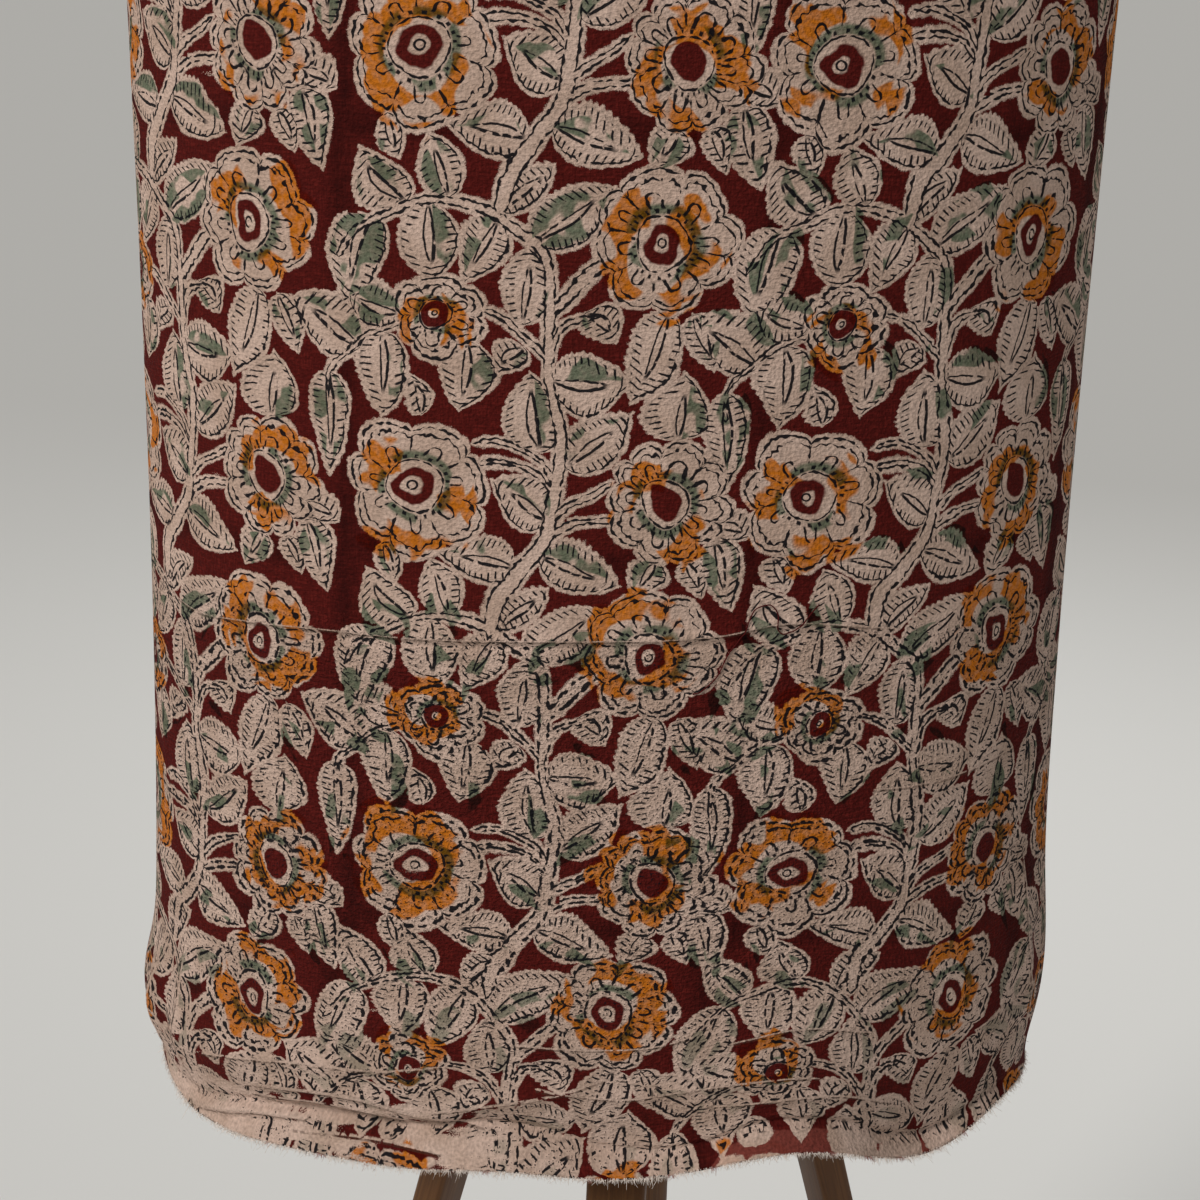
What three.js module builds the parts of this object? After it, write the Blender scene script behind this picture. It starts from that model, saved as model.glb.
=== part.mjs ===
// A printed kalamkari cloth panel wrapped once round a padded dress form on a wooden tripod.
// Millimetres, +Z up. The front of the cloth faces -Y.
// The origin is on the floor, in the middle of the object's footprint.
import * as THREE from "three";

// Driving dimensions of the cloth. "Up" is always measured from the hem.
const HEM_HEIGHT = 690; // hem above the floor
const PANEL_WIDTH = 1110; // flat cloth, the way it goes round the form
const PANEL_DROP = 600; // flat cloth, from its top edge to its hem
const CLOTH_THICKNESS = 1.5;
const TOP_HALF_WIDTH = 187.5; // half the width of the wrapped cloth, high up
const HEM_FLARE = 13.9; // how much further the hem stands out
const FLARE_HEIGHT = 150; // the flare fades upwards over this height
const DEPTH_RATIO = 0.548; // depth over width of the wrapped section
const LAP_GAP = 0.9; // air between the two layers where the edges lap at the back
const LAP_RAMP = 70; // length over which the outer edge lifts over the inner one
const LAP_START = 430; // distance from the front line at which that lift starts
const CLOTH_COLUMNS = 100;
const CLOTH_ROWS = 17;
const ROW_BUNCHING = 1.5; // rows lie closer together towards the hem

// How far the hem hangs above or below its level, by place round the form.
// at and spread are degrees from the front line, positive towards +X. rise is millimetres.
const HEM_RISES = [
  { at: 24, spread: 8, rise: 9 },
  { at: 18, spread: 14, rise: 10 },
  { at: 45, spread: 9, rise: -6 },
  { at: 62, spread: 9, rise: 5 },
  { at: -10, spread: 8, rise: 7 },
  { at: -30, spread: 10, rise: 3 },
  { at: -62, spread: 15, rise: -7 },
  { at: -118, spread: 16, rise: 5 },
  { at: 128, spread: 15, rise: -5 },
  { at: 172, spread: 12, rise: 4 },
];
const HEM_RISE_FADE = 85; // the unevenness fades upwards over this height
const SLACK_BELOW = 430; // the cloth hangs slack up to this height
const SNUG_ABOVE = 540; // and lies snug against the form from this height up

// Soft troughs and ridges of the cloth. at and wide are degrees, up, tall and out millimetres.
const FOLDS = [
  { at: -86, up: 36, wide: 24, tall: 15, out: 4.5 }, // bulge over the left of the hem
  { at: -72, up: 0, wide: 26, tall: 13, out: -6 }, // hem drawn in on the left
  { at: 82, up: 2, wide: 24, tall: 20, out: -6 }, // hem drawn in on the right
  { at: 92, up: 60, wide: 22, tall: 26, out: 2.5 }, // and standing out above that
  { at: -12, up: 0, wide: 34, tall: 8, out: 4 }, // lip that turns out along the front hem
  { at: -12, up: 15, wide: 34, tall: 6, out: -2 }, // groove above the lip
  { at: 24, up: 4, wide: 9, tall: 34, out: 5 }, // wave of the front hem
  { at: 44, up: 0, wide: 9, tall: 38, out: -3.5 },
  { at: -34, up: 34, wide: 20, tall: 9, out: 2.5 }, // crosswise wrinkles over the left hem
  { at: -26, up: 58, wide: 26, tall: 8, out: 1.6 },
  { at: 62, up: 240, wide: 12, tall: 190, out: -2.5 }, // long slack troughs
  { at: -64, up: 300, wide: 14, tall: 170, out: -2 },
  { at: 118, up: 130, wide: 14, tall: 120, out: 4 },
  { at: -128, up: 110, wide: 15, tall: 110, out: 4.5 },
  { at: 150, up: 20, wide: 14, tall: 70, out: 4 },
  { at: -158, up: 250, wide: 12, tall: 150, out: -2 },
];

// The padded form. inset is how far its surface lies inside the middle of the cloth.
const FORM_SIDES = [
  { up: 33, inset: 26 },
  { up: 38, inset: 16 },
  { up: 50, inset: 11 },
  { up: 90, inset: 8 },
  { up: 180, inset: 6.5 },
  { up: 420, inset: 5.5 },
  { up: 520, inset: 3 },
  { up: 555, inset: 1.15 },
  { up: 604, inset: 1.15 },
];
const FORM_SHOULDERS = [
  { up: 628, halfWidth: 184, halfDepth: 100 },
  { up: 655, halfWidth: 176, halfDepth: 96 },
  { up: 680, halfWidth: 161, halfDepth: 89 },
  { up: 702, halfWidth: 136, halfDepth: 80 },
  { up: 720, halfWidth: 104, halfDepth: 69 },
  { up: 735, halfWidth: 75, halfDepth: 60 },
  { up: 752, halfWidth: 58, halfDepth: 54 },
  { up: 775, halfWidth: 53, halfDepth: 52 },
  { up: 800, halfWidth: 53, halfDepth: 52 },
];
const FORM_SEGMENTS = 40;

// The wooden stand
const SEAT_GAP = 0.3; // between pieces that are fixed to each other
const STAND_OFFSET = 18; // the stand's axis lies this far towards +X of the form's middle
const STAND_TURN = -5; // degrees by which the front leg is turned off the front line
const HUB_RADIUS = 92;
const HUB_THICKNESS = 22;
const HUB_ROUNDING = 5;
const COLUMN_RADIUS = 18;
const COLUMN_LENGTH = 205;
const COLUMN_ROUNDING = 7;
const LEG_WIDTH = 25; // tangential, at the top
const LEG_DEPTH = 17; // radial, at the top
const LEG_TAPER = 0.8; // size at the floor over size at the top
const LEG_CHAMFER = 2.5;
const LEG_TOP_RADIUS = 76; // from the stand's axis to the middle of a leg, under the hub
const LEG_FLOOR_RADIUS = 272;
const LEGS = [
  { name: "leg_front", azimuth: -90 },
  { name: "leg_right", azimuth: 30 },
  { name: "leg_left", azimuth: 150 },
];
const CAP_RADIUS = 58;
const CAP_HEIGHT = 20;
const CAP_ROUNDING = 6;
const EDGE_ROUNDING = 1; // of the other edges of the turned pieces
const ROUND_SEGMENTS = 24;

const printedCotton = new THREE.MeshStandardMaterial({ color: 0xb79a8b, roughness: 0.95, metalness: 0 });
const formLinen = new THREE.MeshStandardMaterial({ color: 0xcfc6b4, roughness: 0.95, metalness: 0 });
const wood = new THREE.MeshStandardMaterial({ color: 0x8a5526, roughness: 0.55, metalness: 0 });

const formBottom = FORM_SIDES[0].up;
const formTop = FORM_SHOULDERS[FORM_SHOULDERS.length - 1].up;
const hubBottom = formBottom - SEAT_GAP - HUB_THICKNESS;

const bell = (x, spread) => Math.exp(-0.5 * (x / spread) ** 2);
const smooth = (x) => THREE.MathUtils.smoothstep(x, 0, 1);

// Degrees between two directions, the short way round.
function turnBetween(a, b) {
  return THREE.MathUtils.euclideanModulo(a - b + 180, 360) - 180;
}

// Half the width of the wrapped cloth's middle surface.
function clothHalfWidth(up) {
  return TOP_HALF_WIDTH + HEM_FLARE * Math.exp(-up / FLARE_HEIGHT);
}

// Length of the cloth's elliptical section from the front line, for each step of its angle.
function arcTable(up) {
  const STEPS = 900;
  const LIMIT = 1.35 * Math.PI;
  const halfWidth = clothHalfWidth(up);
  const step = LIMIT / STEPS;
  const arcs = [0];
  for (let i = 0; i < STEPS; i++) {
    const angle = (i + 0.5) * step;
    const speed = Math.hypot(Math.cos(angle), DEPTH_RATIO * Math.sin(angle));
    arcs.push(arcs[i] + halfWidth * speed * step);
  }
  return { arcs, step };
}

// Angle from the front line at which a point of the flat cloth lies.
function wrapAngle(across, { arcs, step }) {
  const wanted = Math.abs(across);
  let i = 1;
  while (arcs[i] < wanted) i++;
  const share = (wanted - arcs[i - 1]) / (arcs[i] - arcs[i - 1]);
  return Math.sign(across) * (i - 1 + share) * step;
}

function hemRise(degrees, up) {
  const fade = Math.exp(-up / HEM_RISE_FADE);
  return HEM_RISES.reduce((sum, w) => sum + w.rise * fade * bell(turnBetween(degrees, w.at), w.spread), 0);
}

function foldOut(degrees, up) {
  const slack = 1 - THREE.MathUtils.smoothstep(up, SLACK_BELOW, SNUG_ABOVE);
  return FOLDS.reduce(
    (sum, f) => sum + slack * f.out * bell(turnBetween(degrees, f.at), f.wide) * bell(up - f.up, f.tall),
    0,
  );
}

// The edge of the cloth towards +X laps over the other one at the back.
function lapOut(across) {
  return (CLOTH_THICKNESS + LAP_GAP) * smooth((across - LAP_START) / LAP_RAMP);
}

// A point of the cloth, "lift" millimetres out of its middle surface.
function clothPoint(across, up, table, lift) {
  const angle = wrapAngle(across, table);
  const degrees = THREE.MathUtils.radToDeg(angle);
  const halfWidth = clothHalfWidth(up);
  const normal = new THREE.Vector2(DEPTH_RATIO * Math.sin(angle), -Math.cos(angle)).normalize();
  const out = lift + lapOut(across) + foldOut(degrees, up);
  return new THREE.Vector3(
    halfWidth * Math.sin(angle) + out * normal.x,
    -halfWidth * DEPTH_RATIO * Math.cos(angle) + out * normal.y,
    HEM_HEIGHT + up + hemRise(degrees, up),
  );
}

// A closed solid whose rings of points follow each other, with flat ends.
function loft(rings) {
  const count = rings[0].length;
  const points = rings.flat();
  const faces = [];
  for (let r = 0; r + 1 < rings.length; r++) {
    for (let i = 0; i < count; i++) {
      const a = r * count + i;
      const b = r * count + ((i + 1) % count);
      faces.push(a, b, b + count, a, b + count, a + count);
    }
  }
  const last = (rings.length - 1) * count;
  for (let i = 1; i + 1 < count; i++) {
    faces.push(0, i + 1, i, last, last + i, last + i + 1);
  }
  return new THREE.BufferGeometry().setFromPoints(points).setIndex(faces);
}

// The sheet of cloth: an outer and an inner grid of points, closed along the four edges.
function clothGeometry() {
  const rows = [];
  for (let r = 0; r <= CLOTH_ROWS; r++) {
    rows.push(PANEL_DROP * (r / CLOTH_ROWS) ** ROW_BUNCHING);
  }
  const rings = rows.map((up) => {
    const table = arcTable(up);
    const outer = [];
    const inner = [];
    for (let c = 0; c <= CLOTH_COLUMNS; c++) {
      const across = PANEL_WIDTH * (c / CLOTH_COLUMNS - 0.5);
      outer.push(clothPoint(across, up, table, CLOTH_THICKNESS / 2));
      inner.unshift(clothPoint(across, up, table, -CLOTH_THICKNESS / 2));
    }
    return [...outer, ...inner];
  });
  const geometry = loft(rings);
  return withStripEnds(geometry, rings.length, CLOTH_COLUMNS + 1);
}

// Closes the first and last ring of a thin section by a strip between its two sides.
function withStripEnds(geometry, ringCount, width) {
  const ring = 2 * width;
  const ends = 2 * 3 * (ring - 2);
  const faces = [...geometry.index.array].slice(0, -ends);
  const last = (ringCount - 1) * ring;
  for (let c = 0; c + 1 < width; c++) {
    const a = c;
    const b = c + 1;
    const across = ring - 1 - c;
    faces.push(a, across, across - 1, a, across - 1, b);
    faces.push(last + a, last + across - 1, last + across, last + a, last + b, last + across - 1);
  }
  return geometry.setIndex(faces);
}

function ellipseRing({ up, halfWidth, halfDepth }) {
  const ring = [];
  for (let i = 0; i < FORM_SEGMENTS; i++) {
    const angle = (2 * Math.PI * i) / FORM_SEGMENTS;
    ring.push(new THREE.Vector3(halfWidth * Math.cos(angle), halfDepth * Math.sin(angle), HEM_HEIGHT + up));
  }
  return ring;
}

function formGeometry() {
  const sides = FORM_SIDES.map(({ up, inset }) => ({
    up,
    halfWidth: clothHalfWidth(up) - inset,
    halfDepth: DEPTH_RATIO * clothHalfWidth(up) - inset,
  }));
  return loft([...sides, ...FORM_SHOULDERS].map(ellipseRing));
}

// A turned wooden piece between two heights, its edges rounded by the given radii.
function turnedGeometry(radius, bottom, top, bottomRounding, topRounding) {
  const outline = new THREE.Path();
  outline.moveTo(0, bottom);
  outline.lineTo(radius - bottomRounding, bottom);
  outline.absarc(radius - bottomRounding, bottom + bottomRounding, bottomRounding, -Math.PI / 2, 0);
  outline.lineTo(radius, top - topRounding);
  outline.absarc(radius - topRounding, top - topRounding, topRounding, 0, Math.PI / 2);
  outline.lineTo(0, top);
  const ARC_POINTS = 3;
  return new THREE.LatheGeometry(outline.getPoints(ARC_POINTS), ROUND_SEGMENTS).rotateX(Math.PI / 2);
}

// A chamfered rectangle, level, with its middle at the given distance from the stand's axis.
function legRing(radius, height, scale) {
  const depth = (LEG_DEPTH * scale) / 2;
  const width = (LEG_WIDTH * scale) / 2;
  const corner = LEG_CHAMFER * scale;
  const quarters = [
    [depth, width - corner],
    [depth - corner, width],
    [corner - depth, width],
    [-depth, width - corner],
    [-depth, corner - width],
    [corner - depth, -width],
    [depth - corner, -width],
    [depth, corner - width],
  ];
  return quarters.map(([out, side]) => new THREE.Vector3(radius + out, side, height));
}

function legGeometry() {
  const top = HEM_HEIGHT + hubBottom - SEAT_GAP;
  return loft([legRing(LEG_FLOOR_RADIUS, 0, LEG_TAPER), legRing(LEG_TOP_RADIUS, top, 1)]);
}

function piece(name, geometry, material) {
  const mesh = new THREE.Mesh(geometry, material);
  mesh.name = name;
  return mesh;
}

function makeCloth() {
  return piece("kalamkari_panel", clothGeometry(), printedCotton);
}

function makeForm() {
  const form = new THREE.Group();
  form.add(piece("form_body", formGeometry(), formLinen));
  const capBottom = HEM_HEIGHT + formTop + SEAT_GAP;
  const cap = turnedGeometry(CAP_RADIUS, capBottom, capBottom + CAP_HEIGHT, EDGE_ROUNDING, CAP_ROUNDING);
  form.add(piece("neck_cap", cap, wood));
  return form;
}

function makeStand() {
  const stand = new THREE.Group();
  stand.position.x = STAND_OFFSET;
  stand.rotation.z = THREE.MathUtils.degToRad(STAND_TURN);
  const hubLow = HEM_HEIGHT + hubBottom;
  const hub = turnedGeometry(HUB_RADIUS, hubLow, hubLow + HUB_THICKNESS, HUB_ROUNDING, EDGE_ROUNDING);
  stand.add(piece("leg_hub", hub, wood));
  const columnTop = hubLow - SEAT_GAP;
  const columnLow = columnTop - COLUMN_LENGTH;
  const column = turnedGeometry(COLUMN_RADIUS, columnLow, columnTop, COLUMN_ROUNDING, EDGE_ROUNDING);
  stand.add(piece("centre_column", column, wood));
  for (const { name, azimuth } of LEGS) {
    const leg = piece(name, legGeometry(), wood);
    leg.rotation.z = THREE.MathUtils.degToRad(azimuth);
    stand.add(leg);
  }
  return stand;
}

const model = new THREE.Group();
model.add(makeCloth(), makeForm(), makeStand());

// The footprint's middle goes to the origin.
const extent = new THREE.Box3().setFromObject(model, true);
const middle = extent.getCenter(new THREE.Vector3());
model.position.set(-middle.x, -middle.y, -extent.min.z);

export default model;
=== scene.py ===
import math
from collections import namedtuple
from functools import partialmethod

import bpy
import numpy as np
from mathutils import Euler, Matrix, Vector


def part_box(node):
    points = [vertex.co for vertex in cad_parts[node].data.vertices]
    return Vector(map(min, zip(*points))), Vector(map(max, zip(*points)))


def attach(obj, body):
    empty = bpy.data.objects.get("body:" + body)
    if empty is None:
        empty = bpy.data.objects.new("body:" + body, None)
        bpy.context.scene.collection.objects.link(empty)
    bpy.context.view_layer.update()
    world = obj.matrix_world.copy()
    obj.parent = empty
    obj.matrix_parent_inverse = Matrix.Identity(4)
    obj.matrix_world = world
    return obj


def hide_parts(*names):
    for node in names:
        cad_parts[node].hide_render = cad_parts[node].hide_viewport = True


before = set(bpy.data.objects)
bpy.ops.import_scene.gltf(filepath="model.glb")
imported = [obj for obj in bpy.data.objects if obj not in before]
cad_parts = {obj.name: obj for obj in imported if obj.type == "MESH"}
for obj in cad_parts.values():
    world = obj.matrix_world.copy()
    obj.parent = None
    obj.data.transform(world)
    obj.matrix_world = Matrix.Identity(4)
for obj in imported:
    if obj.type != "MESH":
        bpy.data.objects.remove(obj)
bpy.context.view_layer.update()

MM = 0.001

# The cloth, as it is wrapped
HEM_HEIGHT = 690.0
PANEL_WIDTH = 1110.0
HALF_WIDTH = PANEL_WIDTH / 2
PANEL_DROP = 600.0
SOLID_THICKNESS = 1.5
SHEET_THICKNESS = 0.5
OUTER_LIFT = SOLID_THICKNESS / 2
TOP_HALF_WIDTH = 187.5
HEM_FLARE = 13.9
FLARE_HEIGHT = 150.0
DEPTH_RATIO = 0.548
LAP_GAP = 0.9
LAP_RAMP = 70.0
LAP_START = 430.0
HEM_RISE_FADE = 85.0
SLACK_BELOW = 430.0
SNUG_ABOVE = 540.0
STAND_OFFSET = 18.0

# How far the hem hangs above or below its level. at and spread are degrees round the form.
HemRise = namedtuple("HemRise", "at spread rise")
HEM_RISES = [
    HemRise(24, 8, 9), HemRise(18, 14, 10), HemRise(45, 9, -6), HemRise(62, 9, 5),
    HemRise(-10, 8, 7), HemRise(-30, 10, 3), HemRise(-62, 15, -7), HemRise(-118, 16, 5),
    HemRise(128, 15, -5), HemRise(172, 12, 4),
]

# Soft troughs and ridges. at and wide are degrees round the form, the rest millimetres.
Fold = namedtuple("Fold", "at up wide tall out")
FOLDS = [
    Fold(-86, 36, 24, 15, 4.5), Fold(-72, 0, 26, 13, -6), Fold(82, 2, 24, 20, -6),
    Fold(92, 60, 22, 26, 2.5), Fold(-12, 0, 34, 8, 4), Fold(-12, 15, 34, 6, -2),
    Fold(24, 4, 9, 34, 5), Fold(44, 0, 9, 38, -3.5), Fold(-34, 34, 20, 9, 2.5),
    Fold(-26, 58, 26, 8, 1.6), Fold(62, 240, 12, 190, -2.5), Fold(-64, 300, 14, 170, -2),
    Fold(118, 130, 14, 120, 4), Fold(-128, 110, 15, 110, 4.5), Fold(150, 20, 14, 70, 4),
    Fold(-158, 250, 12, 150, -2),
]

# Pressed and drawn creases along lines of the flat cloth. bare is the width that the print misses on them.
Crease = namedtuple("Crease", "points wide out bare")
FOLD_LINE = [
    (-195, 227), (-173, 224), (-144, 227), (-107, 230), (-70, 231), (-10, 234), (40, 236), (69, 240),
    (114, 235),
]
FOLD_GROOVE_BELOW = 2.4
CREASES = [
    Crease(FOLD_LINE, 1.3, 1.1, 0.5),
    Crease([(across, up - FOLD_GROOVE_BELOW) for across, up in FOLD_LINE], 1.1, -0.9, 0),
    Crease([(18, 60), (20, 260), (21, 470)], 2.2, 0.7, 0),
    Crease([(-79, 239), (-63, 239), (-47, 240)], 1.4, -0.6, 0),
    Crease([(108, 168), (145, 169), (182, 171)], 1.7, 0.9, 0.6),
    Crease([(-190, 3), (-165, 8), (-146, 12), (-122, 13)], 2.2, 2.4, 4.0),
    Crease([(-186, 0), (-163, 4), (-145, 7), (-124, 8)], 1.5, -1.5, 0),
    Crease([(-158, 22), (-135, 26), (-111, 28), (-92, 27), (-72, 22), (-40, 16)], 1.9, 2.2, 1.8),
    Crease([(-150, 18), (-121, 21), (-104, 21), (-89, 20), (-70, 16)], 1.3, 1.5, 1.2),
    Crease([(-146, 14), (-115, 17), (-95, 16), (-80, 13), (-62, 9)], 1.6, -2.0, 0),
    Crease([(-128, 7), (-104, 9), (-83, 9), (-60, 6)], 1.3, 1.3, 1.0),
    Crease([(-180, 30), (-155, 36), (-125, 40), (-90, 42), (-62, 46)], 2.2, 1.6, 1.0),
    Crease([(-76, 22), (-46, 28), (-22, 34), (4, 44)], 2.4, 1.8, 1.3),
    Crease([(-34, 58), (18, 59), (38, 62)], 1.6, 0.9, 0.7),
    Crease([(-24, 38), (11, 35), (40, 37), (92, 35)], 1.9, 1.3, 0.9),
    Crease([(52, 56), (84, 60), (118, 58)], 1.6, 0.9, 0.7),
    Crease([(44, 27), (72, 25), (104, 27), (128, 24)], 1.8, 1.1, 1.0),
    Crease([(-189, 76), (-191, 46), (-193, 23), (-186, 6)], 2.3, 1.9, 1.4),
    Crease([(-198, 66), (-203, 38), (-206, 12)], 2.2, -1.9, 0),
    Crease([(-214, 54), (-220, 30), (-213, 10)], 2.5, 1.6, 1.6),
    Crease([(150, 62), (175, 50), (198, 34)], 3.0, 1.4, 0),
    Crease([(60, 48), (92, 42), (124, 28)], 3.0, 1.1, 0),
    Crease([(196, 120), (204, 70), (214, 30)], 3.2, 1.8, 1.0),
]

# The line along which the edge of the hem turns out: degrees round the form, and height above the edge.
Lip = namedtuple("Lip", "at height")
LIPS = [
    Lip(-100, 4), Lip(-58, 5), Lip(-48, 11), Lip(-30, 13), Lip(-22, 12.5),
    Lip(-14, 16), Lip(-6, 14), Lip(0, 8), Lip(8, 5), Lip(14, 5.5),
    Lip(19, 10), Lip(32, 10), Lip(37, 6), Lip(47, 3.5), Lip(100, 3),
]
LIP_ENDS = 80.0
LIP_FADE = 35.0
LIP_FLARE = 4.2
LIP_RIDGE = 1.4
LIP_RIDGE_WIDE = 1.1
LIP_GROOVE = 2.2
LIP_GROOVE_WIDE = 1.5
LIP_GROOVE_ABOVE = 2.2

SHEET_COLUMNS = 288
# Rows of the sheet's faces, up to each height.
SHEET_ROWS = [(24.0, 24), (64.0, 20), (222.0, 32), (246.0, 22), (PANEL_DROP, 72)]


def bell(x, spread):
    return np.exp(-0.5 * (x / spread) ** 2)


def smooth(x):
    share = np.clip(x, 0, 1)
    return share * share * (3 - 2 * share)


def turn_between(a, b):
    return (a - b + 180) % 360 - 180


def cloth_axis():
    low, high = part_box("leg_hub")
    middle = (low + high) / 2
    return np.array([middle.x - STAND_OFFSET * MM, middle.y, HEM_HEIGHT * MM])


CLOTH_AXIS = cloth_axis()


def cloth_half_width(up):
    return TOP_HALF_WIDTH + HEM_FLARE * np.exp(-up / FLARE_HEIGHT)


WRAP_LIMIT = 1.35 * math.pi
WRAP_STEPS = 1500


# Angle from the front line of a place on the flat cloth, by the length of the elliptical section.
def wrap_angle(across, up):
    angles = np.linspace(0, WRAP_LIMIT, WRAP_STEPS)
    speed = np.hypot(np.cos(angles), DEPTH_RATIO * np.sin(angles))
    lengths = np.concatenate([[0], np.cumsum((speed[1:] + speed[:-1]) / 2 * np.diff(angles))])
    return np.sign(across) * np.interp(np.abs(across) / cloth_half_width(up), lengths, angles)


def fold_out(degrees, up):
    slack = 1 - smooth((up - SLACK_BELOW) / (SNUG_ABOVE - SLACK_BELOW))
    total = np.zeros_like(up)
    for fold in FOLDS:
        total += fold.out * bell(turn_between(degrees, fold.at), fold.wide) * bell(up - fold.up, fold.tall)
    return slack * total


# A crease fades out over a share of its length at each end, and within some widths to its sides.
CREASE_TAPER = 0.25
CREASE_REACH = 4


def crease_out(flat):
    total = np.zeros(len(flat))
    for crease in CREASES:
        line = smooth_line(crease.points)
        reach = CREASE_REACH * crease.wide
        near = np.flatnonzero(((flat > line.min(0) - reach) & (flat < line.max(0) + reach)).all(1))
        if len(near):
            aside, along, length = line_local(line, flat[near])
            end = CREASE_TAPER * length
            taper = smooth(along / end) * smooth((length - along) / end)
            total[near] += crease.out * taper * bell(aside, crease.wide)
    return total


def above_lip(degrees, up):
    return up - np.interp(degrees, *zip(*LIPS))


def lip_out(degrees, up):
    above = above_lip(degrees, up)
    front = smooth((LIP_ENDS - np.abs(degrees)) / LIP_FADE)
    flare = LIP_FLARE * np.clip(-above / (up - above), 0, 1)
    ridge = LIP_RIDGE * bell(above, LIP_RIDGE_WIDE)
    return front * (flare + ridge - LIP_GROOVE * bell(above - LIP_GROOVE_ABOVE, LIP_GROOVE_WIDE))


def hem_rise(degrees, up):
    fade = np.exp(-up / HEM_RISE_FADE)
    return sum(w.rise * fade * bell(turn_between(degrees, w.at), w.spread) for w in HEM_RISES)


# Places of the flat cloth as points of the frame, lifted out of the middle of the solid sheet.
def cloth_points(flat, lift):
    across, up = flat[:, 0], flat[:, 1]
    angle = wrap_angle(across, up)
    degrees = np.degrees(angle)
    half_width = cloth_half_width(up)
    normal = np.stack([DEPTH_RATIO * np.sin(angle), -np.cos(angle)], 1)
    normal /= np.linalg.norm(normal, axis=1)[:, None]
    lap = (SOLID_THICKNESS + LAP_GAP) * smooth((across - LAP_START) / LAP_RAMP)
    out = lift + lap + fold_out(degrees, up) + crease_out(flat) + lip_out(degrees, up)
    points = np.stack(
        [
            half_width * np.sin(angle) + out * normal[:, 0],
            -half_width * DEPTH_RATIO * np.cos(angle) + out * normal[:, 1],
            up + hem_rise(degrees, up),
        ],
        1,
    )
    return points * MM + CLOTH_AXIS


def add_object(name, points, faces, materials):
    mesh = bpy.data.meshes.new(name)
    mesh.from_pydata(np.asarray(points).tolist(), [], faces)
    mesh.polygons.foreach_set("use_smooth", np.ones(len(mesh.polygons), bool))
    for material in materials:
        mesh.materials.append(material)
    made = bpy.data.objects.new(name, mesh)
    bpy.context.scene.collection.objects.link(made)
    return made


def sheet_rows():
    rows = [0.0]
    for height, count in SHEET_ROWS:
        rows += np.linspace(rows[-1], height, count + 1)[1:].tolist()
    return np.array(rows)


# Faces of the closed sheet: the printed side first, then its four edges, then the back.
def sheet_faces(columns, rows):
    wide = columns + 1
    back = wide * (rows + 1)
    cell = (np.arange(rows)[:, None] * wide + np.arange(columns)).ravel()
    front = np.stack([cell, cell + 1, cell + 1 + wide, cell + wide], 1)
    low = np.arange(columns)
    high = low + rows * wide
    left = np.arange(rows) * wide
    right = left + columns
    edges = [
        np.stack([low, low + back, low + 1 + back, low + 1], 1),
        np.stack([high, high + 1, high + 1 + back, high + back], 1),
        np.stack([left, left + wide, left + wide + back, left + back], 1),
        np.stack([right, right + back, right + wide + back, right + wide], 1),
    ]
    return np.concatenate([front, *edges]), front[:, ::-1] + back


# The print: one block's motifs, placed from the middle of its upper right flower.
BLOCK_PITCH = (151.0, 156.0)
FIRST_BLOCK = (15.0, 382.0)
BLOCK_COLUMNS = range(-4, 6)
BLOCK_ROWS = range(-2, 4)

# Sizes in the motifs' tables are those of the bare cloth that they leave, edge to edge.
Flower = namedtuple("Flower", "at radius petals turn")
FLOWERS = [
    Flower((0, 0), 27.0, 8, 0.2), Flower((4, -95), 24.5, 10, 0.0),
    Flower((-89, -93), 28.0, 7, 0.25), Flower((-80, -29), 17.5, 6, 0.5),
]

# green says which side of the midrib is painted, seen from the base: left, right, both or none.
Leaf = namedtuple("Leaf", "base tip width bend green")
LEAVES = [
    Leaf((-93, 9), (-109, 29), 15, 1.5, "both"),
    Leaf((-75, 13), (-82, 35), 16, 1.0, "both"),
    Leaf((-103, 5), (-117, -26), 20, -1.5, "both"),
    Leaf((-84, 10), (-83, -15), 18, 0.0, "left"),
    Leaf((-57, 8), (-71, -16), 17, 0.0, "right"),
    Leaf((-45, -2), (-17, 18), 19, 1.5, "both"),
    Leaf((-56, 10), (-39, 26), 10, 1.5, "none"),
    Leaf((-49, -30), (-47, -3), 17, -1.0, "right"),
    Leaf((-94, -28), (-116, -21), 15, 1.0, "both"),
    Leaf((-110, -42), (-135, -27), 17, -1.5, "right"),
    Leaf((-103, -36), (-101, -66), 17, 1.0, "left"),
    Leaf((-121, -53), (-123, -90), 14, 0.0, "both"),
    Leaf((-70, -38), (-71, -62), 18, 2.0, "left"),
    Leaf((-88, -64), (-91, -52), 8, -1.5, "none"),
    Leaf((-43, -76), (-48, -47), 17, 1.0, "right"),
    Leaf((-39, -50), (-11, -52), 20, -1.5, "left"),
    Leaf((-34, -80), (-9, -61), 17, -1.0, "left"),
    Leaf((-38, -103), (-59, -88), 18, -1.0, "right"),
    Leaf((-52, -123), (-79, -117), 16, -1.5, "right"),
    Leaf((-43, -118), (-13, -126), 16, 1.5, "left"),
    Leaf((-103, -115), (-97, -129), 9, 0.0, "both"),
    Leaf((22, -110), (30, -135), 14, 0.0, "both"),
    Leaf((2, -25), (-9, -57), 17, 0.0, "none"),
    Leaf((12, -26), (19, -45), 11, 1.0, "both"),
    Leaf((7, -72), (8, -46), 21, 1.0, "right"),
    Leaf((-28, -24), (-17, -36), 11, 3.0, "right"),
    Leaf((-49, -37), (-58, -48), 9, -2.5, "left"),
    Leaf((21, -101), (34, -109), 11, 1.0, "none"),
    Leaf((0, -116), (-7, -131), 13, 0.0, "both"),
    Leaf((12, -117), (18, -132), 9, 0.0, "none"),
]

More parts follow.
